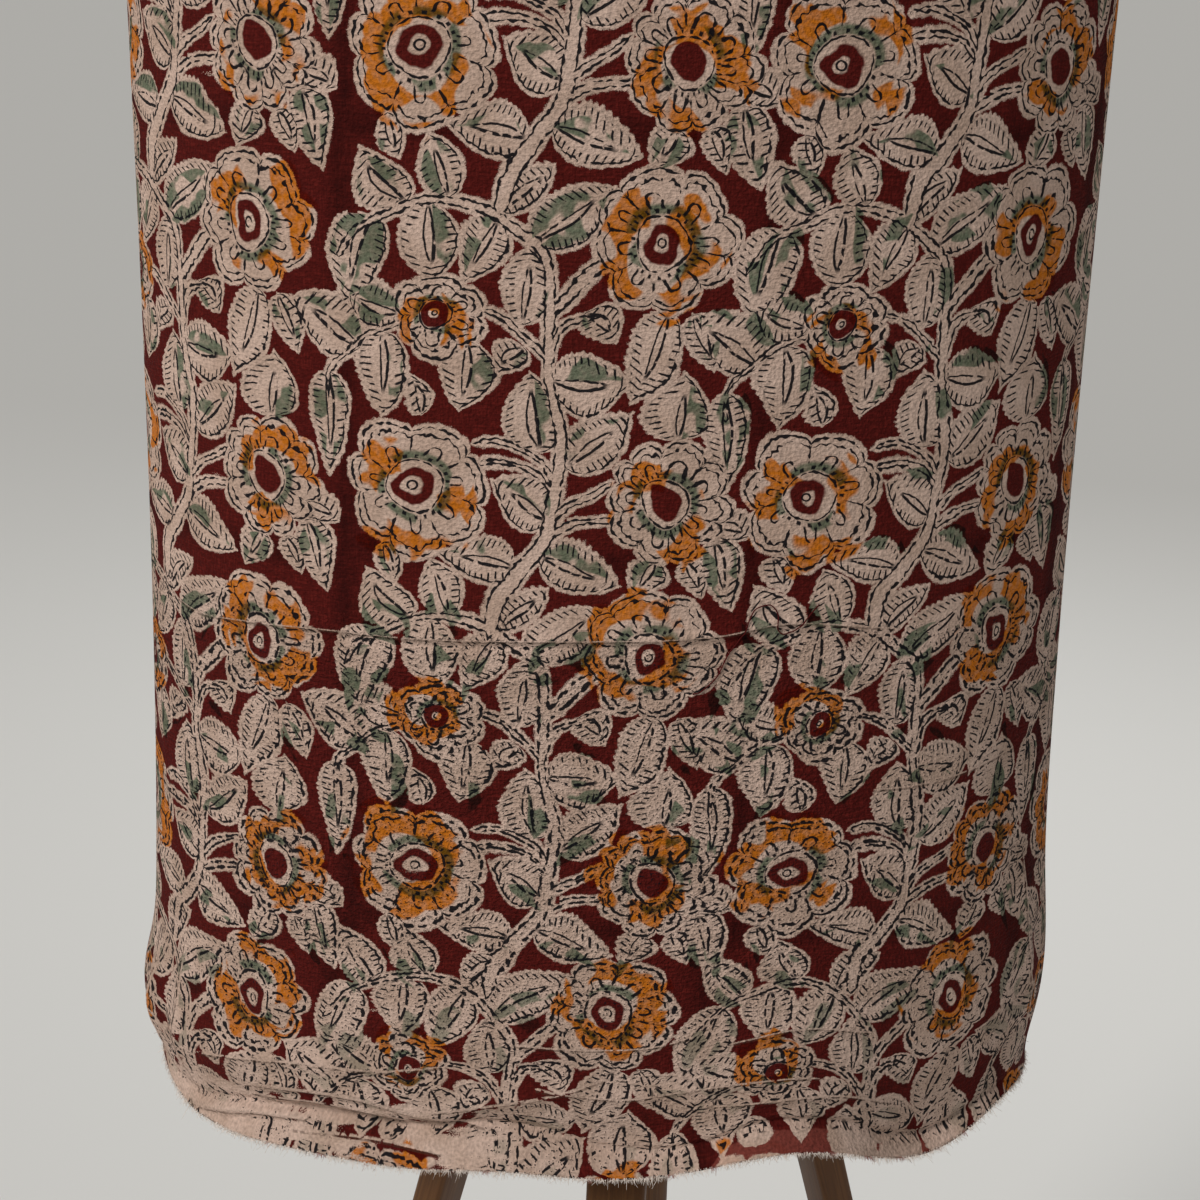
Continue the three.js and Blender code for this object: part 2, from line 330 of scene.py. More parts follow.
VINE = [
    (-60, -146), (-57, -132), (-51, -124), (-41, -113), (-37, -102), (-36, -82), (-38, -60), (-41, -45),
    (-39, -30), (-38, -20), (-40, -11), (-45, -2), (-52, 5), (-61, 10), (-72, 12), (-84, 11), (-96, 7),
    (-105, 2), (-113, -5), (-118, -11),
]
Stem = namedtuple("Stem", "points first last")
STEMS = [
    Stem(VINE, 7.8, 5.0),
    Stem([(-41, -42), (-47, -35), (-56, -29), (-66, -26)], 5.2, 4.6),
    Stem([(-93, -31), (-107, -37), (-114, -44), (-120, -51), (-122, -63)], 5.2, 4.2),
    Stem([(-38, -26), (-33, -19), (-26, -11), (-19, -5)], 6.0, 6.0),
    Stem([(-40, -43), (-37, -33), (-31, -27), (-22, -25)], 5.6, 4.6),
    Stem([(-37, -87), (-43, -79), (-54, -75), (-66, -76)], 5.0, 4.6),
    Stem([(-37, -91), (-44, -84), (-54, -82), (-66, -83)], 5.0, 4.6),
    Stem([(-37, -103), (-29, -95), (-18, -88)], 5.6, 5.0),
    Stem([(-38, -109), (-30, -105), (-16, -102)], 5.6, 5.0),
]

# How each impression that shows lies off the even lattice, and how its green and orange blocks lie off it.
Impression = namedtuple("Impression", "column row shift green orange")
IMPRESSIONS = [
    Impression(-1, -1, (1, 2), (1, 1), (1, -3)),
    Impression(0, -1, (5, 1), (-1, -2), (0, -4)),
    Impression(1, -1, (0, -2), (0, -3), (-1, 3)),
    Impression(-1, 0, (-1, 0), (0, -2), (4, 1)),
    Impression(0, 0, (2, 1), (0, 0), (-3, -6)),
    Impression(1, 0, (-3, 0), (3, 3), (-1, -5)),
    Impression(-1, 1, (-2, -5), (-2, -6), (3, 2)),
    Impression(0, 1, (2, 2), (0, -9), (-6, 3)),
    Impression(1, 1, (-2, 0), (-4, -8), (-4, 4)),
    Impression(-1, 2, (-11, -5), (1, -7), (3, 3)),
    Impression(0, 2, (-10, 4), (0, -8), (0, 5)),
    Impression(1, 2, (-13, -1), (2, -5), (-3, 6)),
]
# Where no impression shows, each lies off by chance within these lengths.
UNSEEN_SHIFT = 2.5
UNSEEN_REGISTER = 4.5
FIRST_LOW_ROW = 2
LOW_ROW_SHIFT = -11.0


def impressions():
    known = {(i.column, i.row): i for i in IMPRESSIONS}
    rng = np.random.default_rng(11)
    for row in BLOCK_ROWS:
        for column in BLOCK_COLUMNS:
            shift = rng.uniform(-UNSEEN_SHIFT, UNSEEN_SHIFT, 2)
            green, orange = rng.uniform(-UNSEEN_REGISTER, UNSEEN_REGISTER, (2, 2))
            if row >= FIRST_LOW_ROW:
                shift[0] += LOW_ROW_SHIFT
            if (column, row) in known:
                shift, green, orange = (np.array(v, float) for v in known[column, row][2:])
            across = FIRST_BLOCK[0] + column * BLOCK_PITCH[0]
            up = FIRST_BLOCK[1] - row * BLOCK_PITCH[1]
            yield np.array([across, up]) + shift, green, orange


# Waves of the carver's hand, in whole turns to a block across and up.
Wave = namedtuple("Wave", "across up start reach")
CARVING_ACROSS = [Wave(3, 2, 0.6, 1.1), Wave(5, -4, 2.1, 0.7)]
CARVING_UP = [Wave(2, -3, 1.7, 1.1), Wave(4, 5, 0.4, 0.7)]


def carved(flat):
    turns = 2 * math.pi * flat / np.array(BLOCK_PITCH)
    moved = flat.copy()
    for axis, waves in enumerate((CARVING_ACROSS, CARVING_UP)):
        for wave in waves:
            phase = wave.across * turns[:, 0] + wave.up * turns[:, 1] + wave.start
            moved[:, axis] += wave.reach * np.sin(phase)
    return moved


HALO = 1.1
LEAF_FULL = 2.3
LEAF_LEAN = 0.9
LEAF_END = 26.0
LEAF_SPREAD = 4.4
TICK_SPACING = 2.35
COMBED_TOWARDS = np.array([-0.8, 0.6])
GREEN_SIDES = {"none": 0, "left": 1, "right": 2, "both": 3}
CODE = 100.0

# Columns of the array of placed leaves. NUMBER is the count of ticks, or the sides that are green. SIGN turns
# the combed side of a leaf to the left.
BASE, RUN, LENGTH, HALF, BEND, NUMBER, SIGN = slice(0, 2), slice(2, 4), 4, 5, 6, 7, 8


def leaf_outline(along):
    inside = np.clip(along, 0, 1)
    return np.sqrt(inside) * (1 - inside) * (LEAF_FULL + LEAF_LEAN * inside)


# Leaves of the whole cloth, printed by the key block or by the green one.
def place_leaves(green_block):
    rows = []
    for place, green, _ in impressions():
        offset = place + (green if green_block else 0)
        for leaf in LEAVES:
            base = np.array(leaf.base, float) + offset
            run = np.array(leaf.tip, float) + offset - base
            length = np.hypot(*run)
            run /= length
            half = (leaf.width + LEAF_SPREAD) / 2 - HALO
            number = round(length / TICK_SPACING)
            sign = np.sign(run[0] * COMBED_TOWARDS[1] - run[1] * COMBED_TOWARDS[0])
            if green_block:
                number = GREEN_SIDES[leaf.green]
                sign = 1
            rows.append([*base, *run, length, half, leaf.bend, number, sign])
    return np.array(rows)


def leaf_local(leaves, flat):
    away = flat - leaves[..., BASE]
    run = leaves[..., RUN]
    along = (away * run).sum(-1) / leaves[..., LENGTH]
    side = run[..., 0] * away[..., 1] - run[..., 1] * away[..., 0]
    reach = np.clip(along, 0, 1)
    return along, side - leaves[..., BEND] * 4 * reach * (1 - reach)


def leaf_gap(along, side, half):
    return np.abs(side) - half * leaf_outline(along) + LEAF_END * np.maximum(np.abs(along - 0.5) - 0.5, 0)


# The smallest and second smallest gap met so far at each place, and whose they are.
class TwoNearest:
    def __init__(self, count):
        self.gap = np.full((2, count), 1e3)
        self.which = np.full((2, count), -1)

    def offer(self, places, gap, number):
        first = gap < self.gap[0, places]
        second = ~first & (gap < self.gap[1, places])
        moved = places[first]
        self.gap[1, moved], self.which[1, moved] = self.gap[0, moved], self.which[0, moved]
        self.gap[0, moved], self.which[0, moved] = gap[first], number
        moved = places[second]
        self.gap[1, moved], self.which[1, moved] = gap[second], number


NEAR = 45.0


def nearest_leaves(leaves, middles):
    nearest = TwoNearest(len(middles))
    for number, leaf in enumerate(leaves):
        near = np.flatnonzero((np.abs(middles - leaf[BASE]) < NEAR).all(1))
        along, side = leaf_local(leaf, middles[near])
        nearest.offer(near, leaf_gap(along, side, leaf[HALF]), number)
    return nearest


# Share of the way along the leaf, way to its side and half width, with a whole number coded into the last.
def leaves_of(leaves, which, corners):
    chosen = leaves[which][:, None, :]
    along, side = leaf_local(chosen, corners)
    coded = np.broadcast_to(chosen[..., HALF] + CODE * chosen[..., NUMBER], along.shape)
    return np.stack([along, side * chosen[..., SIGN], coded], -1)


# Columns of the array of placed flowers.
MIDDLE, RADIUS, PETALS, TURN = slice(0, 2), 2, 3, 4


# Place in the nearest flower in shares of its radius, its radius with the count of petals coded in, and the
# way from the flower to the middles of the faces.
def flowers_of(middles, corners, orange_block):
    rows = []
    for place, _, orange in impressions():
        offset = place + (orange if orange_block else 0)
        rows += [[*(np.array(f.at, float) + offset), f.radius - HALO, f.petals, f.turn] for f in FLOWERS]
    flowers = np.array(rows)
    away = np.linalg.norm(middles[:, None] - flowers[None, :, MIDDLE], axis=2) - flowers[:, RADIUS]
    chosen = flowers[away.argmin(1)][:, None, :]
    local = (corners - chosen[..., MIDDLE]) / chosen[..., RADIUS, None]
    x, y = local[..., 0], local[..., 1]
    cos, sin = np.cos(chosen[..., TURN]), np.sin(chosen[..., TURN])
    coded = np.broadcast_to(chosen[..., RADIUS] + CODE * chosen[..., PETALS], x.shape)
    return np.stack([cos * x + sin * y, cos * y - sin * x, coded], -1), away.min(1)


# A smooth line through rows of numbers.
def smooth_line(points, steps=6):
    points = np.array(points, float)
    ends = np.concatenate([[2 * points[0] - points[1]], points, [2 * points[-1] - points[-2]]])
    share = np.linspace(0, 1, steps, endpoint=False)[:, None]
    pieces = []
    for a, b, c, d in zip(ends[:-3], ends[1:-2], ends[2:-1], ends[3:]):
        bent = (2 * a - 5 * b + 4 * c - d) * share**2 + (3 * b - a - 3 * c + d) * share**3
        pieces.append(b + 0.5 * ((c - a) * share + bent))
    return np.concatenate([*pieces, points[-1:]])


# Signed distance from a line of points that runs straight on at its ends, way along it, and its length.
def line_local(line, places):
    start = line[:-1]
    run = line[1:] - start
    length = np.linalg.norm(run, axis=1)
    run = run / length[:, None]
    away = places[:, None, :] - start[None]
    lowest = np.zeros(len(length))
    highest = length.copy()
    lowest[0] = -np.inf
    highest[-1] = np.inf
    along = np.clip((away * run).sum(2), lowest, highest)
    foot = away - along[..., None] * run
    distance = np.linalg.norm(foot, axis=2)
    nearest = distance.argmin(1)
    row = np.arange(len(places))
    sign = np.sign(run[nearest, 0] * foot[row, nearest, 1] - run[nearest, 1] * foot[row, nearest, 0])
    travelled = np.concatenate([[0], np.cumsum(length)])
    return sign * distance[row, nearest], travelled[nearest] + along[row, nearest], travelled[-1]


LINE_REACH = 14.0
FAR_LINE = (50.0, 0.0, 1.0)


# Half the width of a drawn line, which closes beyond its ends.
def line_half(along, length, halves):
    beyond = np.maximum(along - length, 0) + np.maximum(-along, 0)
    return np.interp(along, (0, length), halves) - beyond


def placed_stems():
    lines = [(smooth_line(s.points), (s.first / 2 - HALO, s.last / 2 - HALO)) for s in STEMS]
    return [(line + place, halves) for place, _, _ in impressions() for line, halves in lines]


def bare_creases():
    return [(smooth_line(c.points), (c.bare / 2, c.bare / 2)) for c in CREASES if c.bare]


# Signed distance, way along and half width of the nearest and second nearest line, and the gaps to them.
def nearest_lines(placed, middles, corners):
    nearest = TwoNearest(len(middles))
    for number, (line, halves) in enumerate(placed):
        inside = (middles > line.min(0) - LINE_REACH) & (middles < line.max(0) + LINE_REACH)
        near = np.flatnonzero(inside.all(1))
        if len(near):
            distance, along, length = line_local(line, middles[near])
            nearest.offer(near, np.abs(distance) - line_half(along, length, halves), number)
    made = np.broadcast_to(np.array(FAR_LINE), (2, *corners.shape[:2], 3)).copy()
    for layer, which in enumerate(nearest.which):
        for number in np.unique(which[which >= 0]):
            line, halves = placed[number]
            faces = np.flatnonzero(which == number)
            distance, along, length = line_local(line, corners[faces].reshape(-1, 2))
            values = np.stack([distance, along, line_half(along, length, halves)], 1)
            made[layer, faces] = values.reshape(len(faces), -1, 3)
    return made, nearest.gap


# Degrees round the form between which the hem lay tucked under while the cloth was printed.
TUCKED = (15, 52)
TUCK_RISE = 3.0


# Signed distance and half width of the nearest bare crease, and between them the way above the tucked hem.
def creases_of(middles, corners):
    made = nearest_lines(bare_creases(), middles, corners)[0][0]
    across, up = corners.reshape(-1, 2).T
    degrees = np.degrees(wrap_angle(across, up))
    outside = np.maximum(TUCKED[0] - degrees, degrees - TUCKED[1]).clip(0)
    above = above_lip(degrees, up) + TUCK_RISE * outside
    made[..., 1] = above.reshape(corners.shape[:2])
    return made


SEAM_OFFSET = (38.0, 37.0)
SEAM_SPREAD = 3.4
SEAM_OVERLAP = 6.0


# How much dye has doubled up where neighbouring impressions meet.
def seam_strength(corners):
    total = np.zeros(corners.shape[:2])
    for place, _, _ in impressions():
        past = corners - place - np.array(SEAM_OFFSET)
        inside = (past < SEAM_OVERLAP) & (past > -np.array(BLOCK_PITCH) - SEAM_OVERLAP)
        seams = bell(past, SEAM_SPREAD) * inside[..., ::-1]
        total = np.maximum(total, seams.max(-1))
    return total


# Shares of a drawn line's width at which it starts to fade and ends.
LINE_CORE = 0.4
LINE_END = 0.66


# A number that changes over a surface: an output socket of a shader's node tree.
class Field:
    def __init__(self, tree, socket):
        self.tree = tree
        self.socket = socket

    def math(self, operation, *others):
        node = self.tree.nodes.new("ShaderNodeMath")
        node.operation = operation
        for place, value in zip(node.inputs, (self, *others)):
            connect(self.tree, value, place)
        return Field(self.tree, node.outputs[0])

    def __add__(self, other):
        return other + self if isinstance(other, Product) else self.math("ADD", other)

    def __sub__(self, other):
        return other.taken_from(self) if isinstance(other, Product) else self.math("SUBTRACT", other)

    def __rsub__(self, other):
        return self.math("MULTIPLY_ADD", -1.0, other)

    def __mul__(self, other):
        return Product(self, other)

    __truediv__ = partialmethod(math, "DIVIDE")
    __radd__ = __add__
    __rmul__ = __mul__
    abs = partialmethod(math, "ABSOLUTE")
    sqrt = partialmethod(math, "SQRT")
    sin = partialmethod(math, "SINE")
    cos = partialmethod(math, "COSINE")
    floor = partialmethod(math, "FLOOR")
    most = partialmethod(math, "MAXIMUM")
    least = partialmethod(math, "MINIMUM")
    # A wave from 0 to a half and back in each unit.
    wave = partialmethod(math, "PINGPONG", 0.5)

    # 0 below low, 1 above high, smooth between.
    def rise(self, low, high):
        return self.ramp(low, high, 0.0, 1.0)

    def fall(self, low, high):
        return self.ramp(low, high, 1.0, 0.0)

    def ramp(self, low, high, first, last):
        node = self.tree.nodes.new("ShaderNodeMapRange")
        node.interpolation_type = "SMOOTHSTEP"
        for place, value in zip(node.inputs, (self, low, high, first, last)):
            connect(self.tree, value, place)
        return Field(self.tree, node.outputs[0])

    # 1 along the places where the field is zero.
    def line(self, width, share=1.0):
        return (self / width).abs().fall(LINE_CORE * share, LINE_END * share)


# A product that waits to see whether something is added to it, because both then take one node.
class Product(Field):
    def __init__(self, first, second):
        self.tree = first.tree
        self.first = first
        self.second = second
        self.made = None

    @property
    def socket(self):
        if self.made is None:
            self.made = self.first.math("MULTIPLY", self.second).socket
        return self.made

    def taken_from(self, other):
        if isinstance(self.second, Field):
            return Field(self.tree, self.socket) * -1.0 + other
        return self.first.math("MULTIPLY_ADD", -self.second, other)

    def __add__(self, other):
        return self.first.math("MULTIPLY_ADD", self.second, other)

    def __sub__(self, other):
        return self.math("SUBTRACT", other) if isinstance(other, Field) else self + -other

    def __rsub__(self, other):
        return self.taken_from(other)

    __radd__ = __add__


def connect(tree, value, place):
    if isinstance(value, Field):
        tree.links.new(value.socket, place)
    else:
        place.default_value = value


# Sockets of a mix of two colours.
MIX_FIRST, MIX_SECOND, MIXED = 6, 7, 2


# A material with its node tree.
class Surface:
    def __init__(self, name):
        self.material = bpy.data.materials.new(name)
        self.material.use_nodes = True
        self.tree = self.material.node_tree
        self.shader = self.tree.nodes["Principled BSDF"]

    def vector(self, name):
        node = self.tree.nodes.new("ShaderNodeAttribute")
        node.attribute_name = name
        return node.outputs["Vector"]

    def parts(self, vector):
        node = self.tree.nodes.new("ShaderNodeSeparateXYZ")
        self.tree.links.new(vector, node.inputs[0])
        return [Field(self.tree, output) for output in node.outputs]

    def stretched(self, vector, scale):
        node = self.tree.nodes.new("ShaderNodeVectorMath")
        node.operation = "MULTIPLY"
        self.tree.links.new(vector, node.inputs[0])
        node.inputs[1].default_value = scale
        return node.outputs[0]

    # scale is one number, or a tuple with one for each direction.
    def noise(self, vector, scale, detail=1.0, flat=True):
        if isinstance(scale, tuple):
            vector = self.stretched(vector, scale)
            scale = 1.0
        node = self.tree.nodes.new("ShaderNodeTexNoise")
        node.noise_dimensions = "2D" if flat else "3D"
        self.tree.links.new(vector, node.inputs["Vector"])
        node.inputs["Scale"].default_value = scale
        node.inputs["Detail"].default_value = detail
        return Field(self.tree, node.outputs["Fac"])

    def mix(self, share, first, second):
        node = self.tree.nodes.new("ShaderNodeMix")
        node.data_type = "RGBA"
        connect(self.tree, share, node.inputs[0])
        for value, place in ((first, node.inputs[MIX_FIRST]), (second, node.inputs[MIX_SECOND])):
            if isinstance(value, tuple):
                place.default_value = (*value, 1.0)
            else:
                self.tree.links.new(value, place)
        return node.outputs[MIXED]

    def dyed(self, colour, share, dye):
        socket = self.mix(share, colour, dye)
        socket.node.blend_type = "MULTIPLY"
        return socket

    def dimmed(self, colour, share):
        node = self.tree.nodes.new("ShaderNodeVectorMath")
        node.operation = "SCALE"
        self.tree.links.new(colour, node.inputs[0])
        connect(self.tree, share, node.inputs["Scale"])
        return node.outputs[0]

    def bump(self, height, distance, strength):
        node = self.tree.nodes.new("ShaderNodeBump")
        node.inputs["Strength"].default_value = strength
        node.inputs["Distance"].default_value = distance
        connect(self.tree, height, node.inputs["Height"])
        self.tree.links.new(node.outputs[0], self.shader.inputs["Normal"])

    def finish(self, colour, roughness, specular):
        self.tree.links.new(colour, self.shader.inputs["Base Color"])
        connect(self.tree, roughness, self.shader.inputs["Roughness"])
        self.shader.inputs["Specular IOR Level"].default_value = specular
        return self.material


COTTON = (0.65, 0.475, 0.39)
COTTON_SHADE = (0.53, 0.375, 0.295)
COTTON_BLED = (0.42, 0.23, 0.19)
MAROON = (0.08, 0.0068, 0.0052)
MAROON_PALE = (0.108, 0.0105, 0.008)
MAROON_SOAKED = (0.2, 0.045, 0.034)
# Green and orange are dyes: the share of each light that they let through.
GREEN = (0.2, 0.335, 0.265)
ORANGE = (0.86, 0.345, 0.03)
BLACK = (0.0055, 0.0055, 0.0085)
# Dark brown of the thin line under bare creases: soil and painted shade.
SOIL_AND_SHADE = (0.06, 0.035, 0.022)
YARN = (0.9, 0.81, 0.74)
YARN_DYED = (0.4, 0.2, 0.17)
YARN_RED = (0.085, 0.008, 0.008)
LINEN = (0.66, 0.59, 0.48)
LINEN_SHADE = (0.42, 0.35, 0.26)
LINEN_AGED = (0.44, 0.35, 0.24)
LINEN_SEAM = (0.2, 0.16, 0.11)
LINEN_STITCH = (0.74, 0.68, 0.57)
WOOD = (0.125, 0.05, 0.0145)
WOOD_PALE = (0.16, 0.067, 0.02)
WOOD_PORE = (0.065, 0.025, 0.008)

# Specular levels.
MATTE = 0.1
LINEN_GLOSS = 0.15
WOOD_GLOSS = 0.25

# Heights and places at which the print changes.
HEM_BARE = 20.0
THINNED_BELOW = 105.0
WORN_BELOW = 66.0
WORN_LEFT_OF = 10.0
SPECKLED_BELOW = 236.0


def split_code(coded):
    number = (coded / CODE).floor()
    return number, coded - number * CODE


def leaf_reach(along, aside, half):
    inside = along.most(0.0).least(1.0)
    outline = inside.sqrt() * (1.0 - inside) * (inside * LEAF_LEAN + LEAF_FULL) * half
    return aside - outline + (along - inside).abs() * LEAF_END


MARGIN_IN = 0.9
TOOTH = 2.0
RIB_END = 0.76
RIB_HALF = 1.6


# A leaf has a line inside one edge, a toothed comb along the other, short ticks and a lens of a midrib.
def leaf_marks(surface, name, wobble, stroke, slow):
    along, side, coded = surface.parts(surface.vector(name))
    ticks, half = split_code(coded)
    aside = side.abs()
    combed = side.rise(-0.5, 0.5)
    comb = (along * ticks + aside * 0.1 + wobble * 0.12).wave()
    plain = leaf_reach(along, aside, half) + wobble
    gap = plain + combed * (0.25 - comb) * TOOTH * plain.fall(0.8, 2.4)
    margin = (gap + MARGIN_IN).line(stroke) * (1.0 - combed * 0.8)
    tick = (comb - stroke * 0.06).fall(0.07, 0.13) * (gap + slow * 5.0).rise(-4.1, -3.3)
    tick = tick * gap.fall(-0.6, 0.0) * half.rise(3.0, 4.5).most(combed)
    lens = (along.most(0.0).least(RIB_END) * (math.pi / RIB_END)).sin() * RIB_HALF
    rib = (aside - lens + wobble * 0.35).abs() - (1.0 - combed) * 0.2
    rib = (rib - stroke * 0.12).fall(0.16, 0.42) * along.fall(0.68, 0.78) * along.rise(0.02, 0.1)
    return gap, margin.most(tick).most(rib * gap.fall(-2.4, -1.8))


def stem_marks(surface, name, wobble, stroke):
    distance, _, half = surface.parts(surface.vector(name))
    gap = distance.abs() - half + wobble * 0.8
    return gap, (gap + 0.45).line(stroke, 0.9)


# One or two layers of leaves and stems. A stem lies over the leaves, and over the other stem's ink.
def leafy_marks(surface, wobble, stroke, slow, layers):
    leaf, leaf_ink = leaf_marks(surface, "leaf_a", wobble, stroke, slow)
    stem, stem_ink = stem_marks(surface, "stem_a", wobble, stroke)
    off_stem = stem.rise(-1.2, -0.8)
    if layers == 2:
        leaf_b, leaf_b_ink = leaf_marks(surface, "leaf_b", wobble, stroke, slow)
        stem_b, stem_b_ink = stem_marks(surface, "stem_b", wobble, stroke)
        off_stem_b = stem_b.rise(-1.2, -0.8)
        leaf_ink = leaf_ink.most(leaf_b_ink * leaf.rise(-0.9, -0.3))
        stem_ink = (stem_ink * off_stem_b).most(stem_b_ink * off_stem)
        off_stem = off_stem * off_stem_b
        leaf = leaf.least(leaf_b)
        stem = stem.least(stem_b)
    return leaf.least(stem), (leaf_ink * off_stem).most(stem_ink)


# Places in a flower: millimetres inside the petals' edge, and shares of its radius.
OUTER_LINE_IN = 1.0
INNER_LINE_IN = 3.9
SCALLOP_FOOT = 0.83
LOOPS_AT = 0.59
LOOP_RADIUS = 1.7
RING_AT = 0.355
DOT_AT = 0.055


# A flower has double scalloped petals, a loop at the foot of each, a ring of ticks and a dyed heart.
def flower_marks(surface, wobble, stroke, register):
    x, y, coded = surface.parts(surface.vector("flower"))
    petals, radius = split_code(coded)
    disc = petals.rise(8.5, 9.5)
    small = petals.fall(6.2, 6.8)
    r = (x * x + y * y).sqrt()
    angle = y.math("ARCTAN2", x)
    turn = (angle + (angle * 2.0 + 0.8).sin() * 0.11) * petals * 0.5
    crest = turn.cos().abs()
    scallop = SCALLOP_FOOT + (1 - SCALLOP_FOOT) * crest.sqrt() + (angle * 3.0 + 2.0).sin() * 0.022
    gap = (r - scallop) * radius + wobble
    arc = r * radius * 2.0 / petals
    outer = (gap + OUTER_LINE_IN).line(stroke, 1.1)
    inner = (gap + INNER_LINE_IN + wobble * 0.9).line(stroke)
    parting = (crest * arc + wobble * 0.3).line(stroke, 0.9) * r.rise(0.47, 0.52) * gap.fall(-2.6, -2.0)
    aside = turn.sin() * arc
    tip = ((r - LOOPS_AT) * radius + wobble * 0.5).most(0.0)
    loop = ((aside * aside + tip * tip).sqrt() - LOOP_RADIUS).line(stroke, 0.85) * r.rise(0.43, 0.47)
    bead = (turn * (3.0 / math.pi) + wobble * 0.1).wave()
    tick = (bead - stroke * 0.06).fall(0.09, 0.17) * r.rise(0.385, 0.4) * r.fall(0.44, 0.47)
    ring = ((r - RING_AT) * radius + wobble * 0.4).line(stroke, 0.9)
    core_x = x - register
    core_y = y + register
    core = (core_x * core_x + core_y * core_y).sqrt() + wobble * 0.02
    heart = (core - small * 0.07).fall(0.235, 0.27) * core.rise(0.1, 0.13).most(disc)
    dot = ((r - DOT_AT) * radius).line(0.7) * (1.0 - disc)
    ink = outer.most(inner).most(parting).most(loop).most(tick).most(ring).most(dot)
    return gap, ink, heart, r


def green_dabs(surface, dabs, slow):
    along, side, coded = surface.parts(surface.vector("dab"))
    sides, half = split_code(coded)
    right = (sides * 0.5).floor()
    left = sides - right * 2.0
    aside = side.abs()
    body = (leaf_reach(along, aside, half) + slow * 2.8).fall(-1.8, -1.1)
    body = body * (aside + slow * 1.5).rise(1.3, 2.0)
    return body * (left * side.rise(-0.3, 0.3)).most(right * side.fall(-0.3, 0.3)) * dabs.rise(0.465, 0.53)


# A green ring round the heart of a flower.
def green_ring(share, dabs):
    return share.rise(0.36, 0.4) * share.fall(0.48, 0.55) * dabs.rise(0.43, 0.49)


# Crescents of orange over the petals, and dabs along some petals' edges.
def orange_dabs(surface, over, wobble):
    x, y, coded = surface.parts(surface.vector("bloom"))
    petals, _ = split_code(coded)
    r = (x * x + y * y).sqrt() + wobble * 0.025
    crest = (y.math("ARCTAN2", x) * petals * 0.5).cos().abs()
    inner = r.rise(0.4, 0.44) * (r - 0.12 * crest).fall(0.68, 0.73) * over.fall(0.55, 0.6)
    outer = (r - 0.1 * crest).rise(0.62, 0.66) * (r - 0.12 * crest).fall(0.84, 0.89) * over.fall(0.42, 0.47)
    return inner.most(outer)


# Faces are shaded by the motifs that reach them, to save time. leafy counts layers of leaves and stems.
Print = namedtuple("Print", "name leafy flowers")
PRINTS = [
    Print("printed_cotton_leaf", 1, False),
    Print("printed_cotton_leaves", 2, False),
    Print("printed_cotton_flower", 0, True),
    Print("printed_cotton_flower_leaf", 1, True),
    Print("printed_cotton_flower_leaves", 2, True),
]
FIRST_FLOWERED = 2
LEAFY_REACH = 6.5
FLOWER_REACH = 6.5
BLOOM_REACH = 3.0
FLOWER_DEPTH = 9.0
DAB_REACH = 5.0


# Which of the prints each face needs, by the way from its middle to the nearest motifs.
def print_numbers(leaf_gaps, stem_gaps, dab_gap, flower_gap, bloom_gap):
    flowered = (flower_gap < FLOWER_REACH) | (bloom_gap < BLOOM_REACH)
    leafy = (np.minimum(leaf_gaps, stem_gaps) < LEAFY_REACH).sum(0)
    leafy[flower_gap < -FLOWER_DEPTH] = 0
    leafy = np.maximum(leafy, dab_gap < DAB_REACH)
    return np.where(flowered, FIRST_FLOWERED + leafy, np.maximum(leafy, 1) - 1).astype(np.int32)
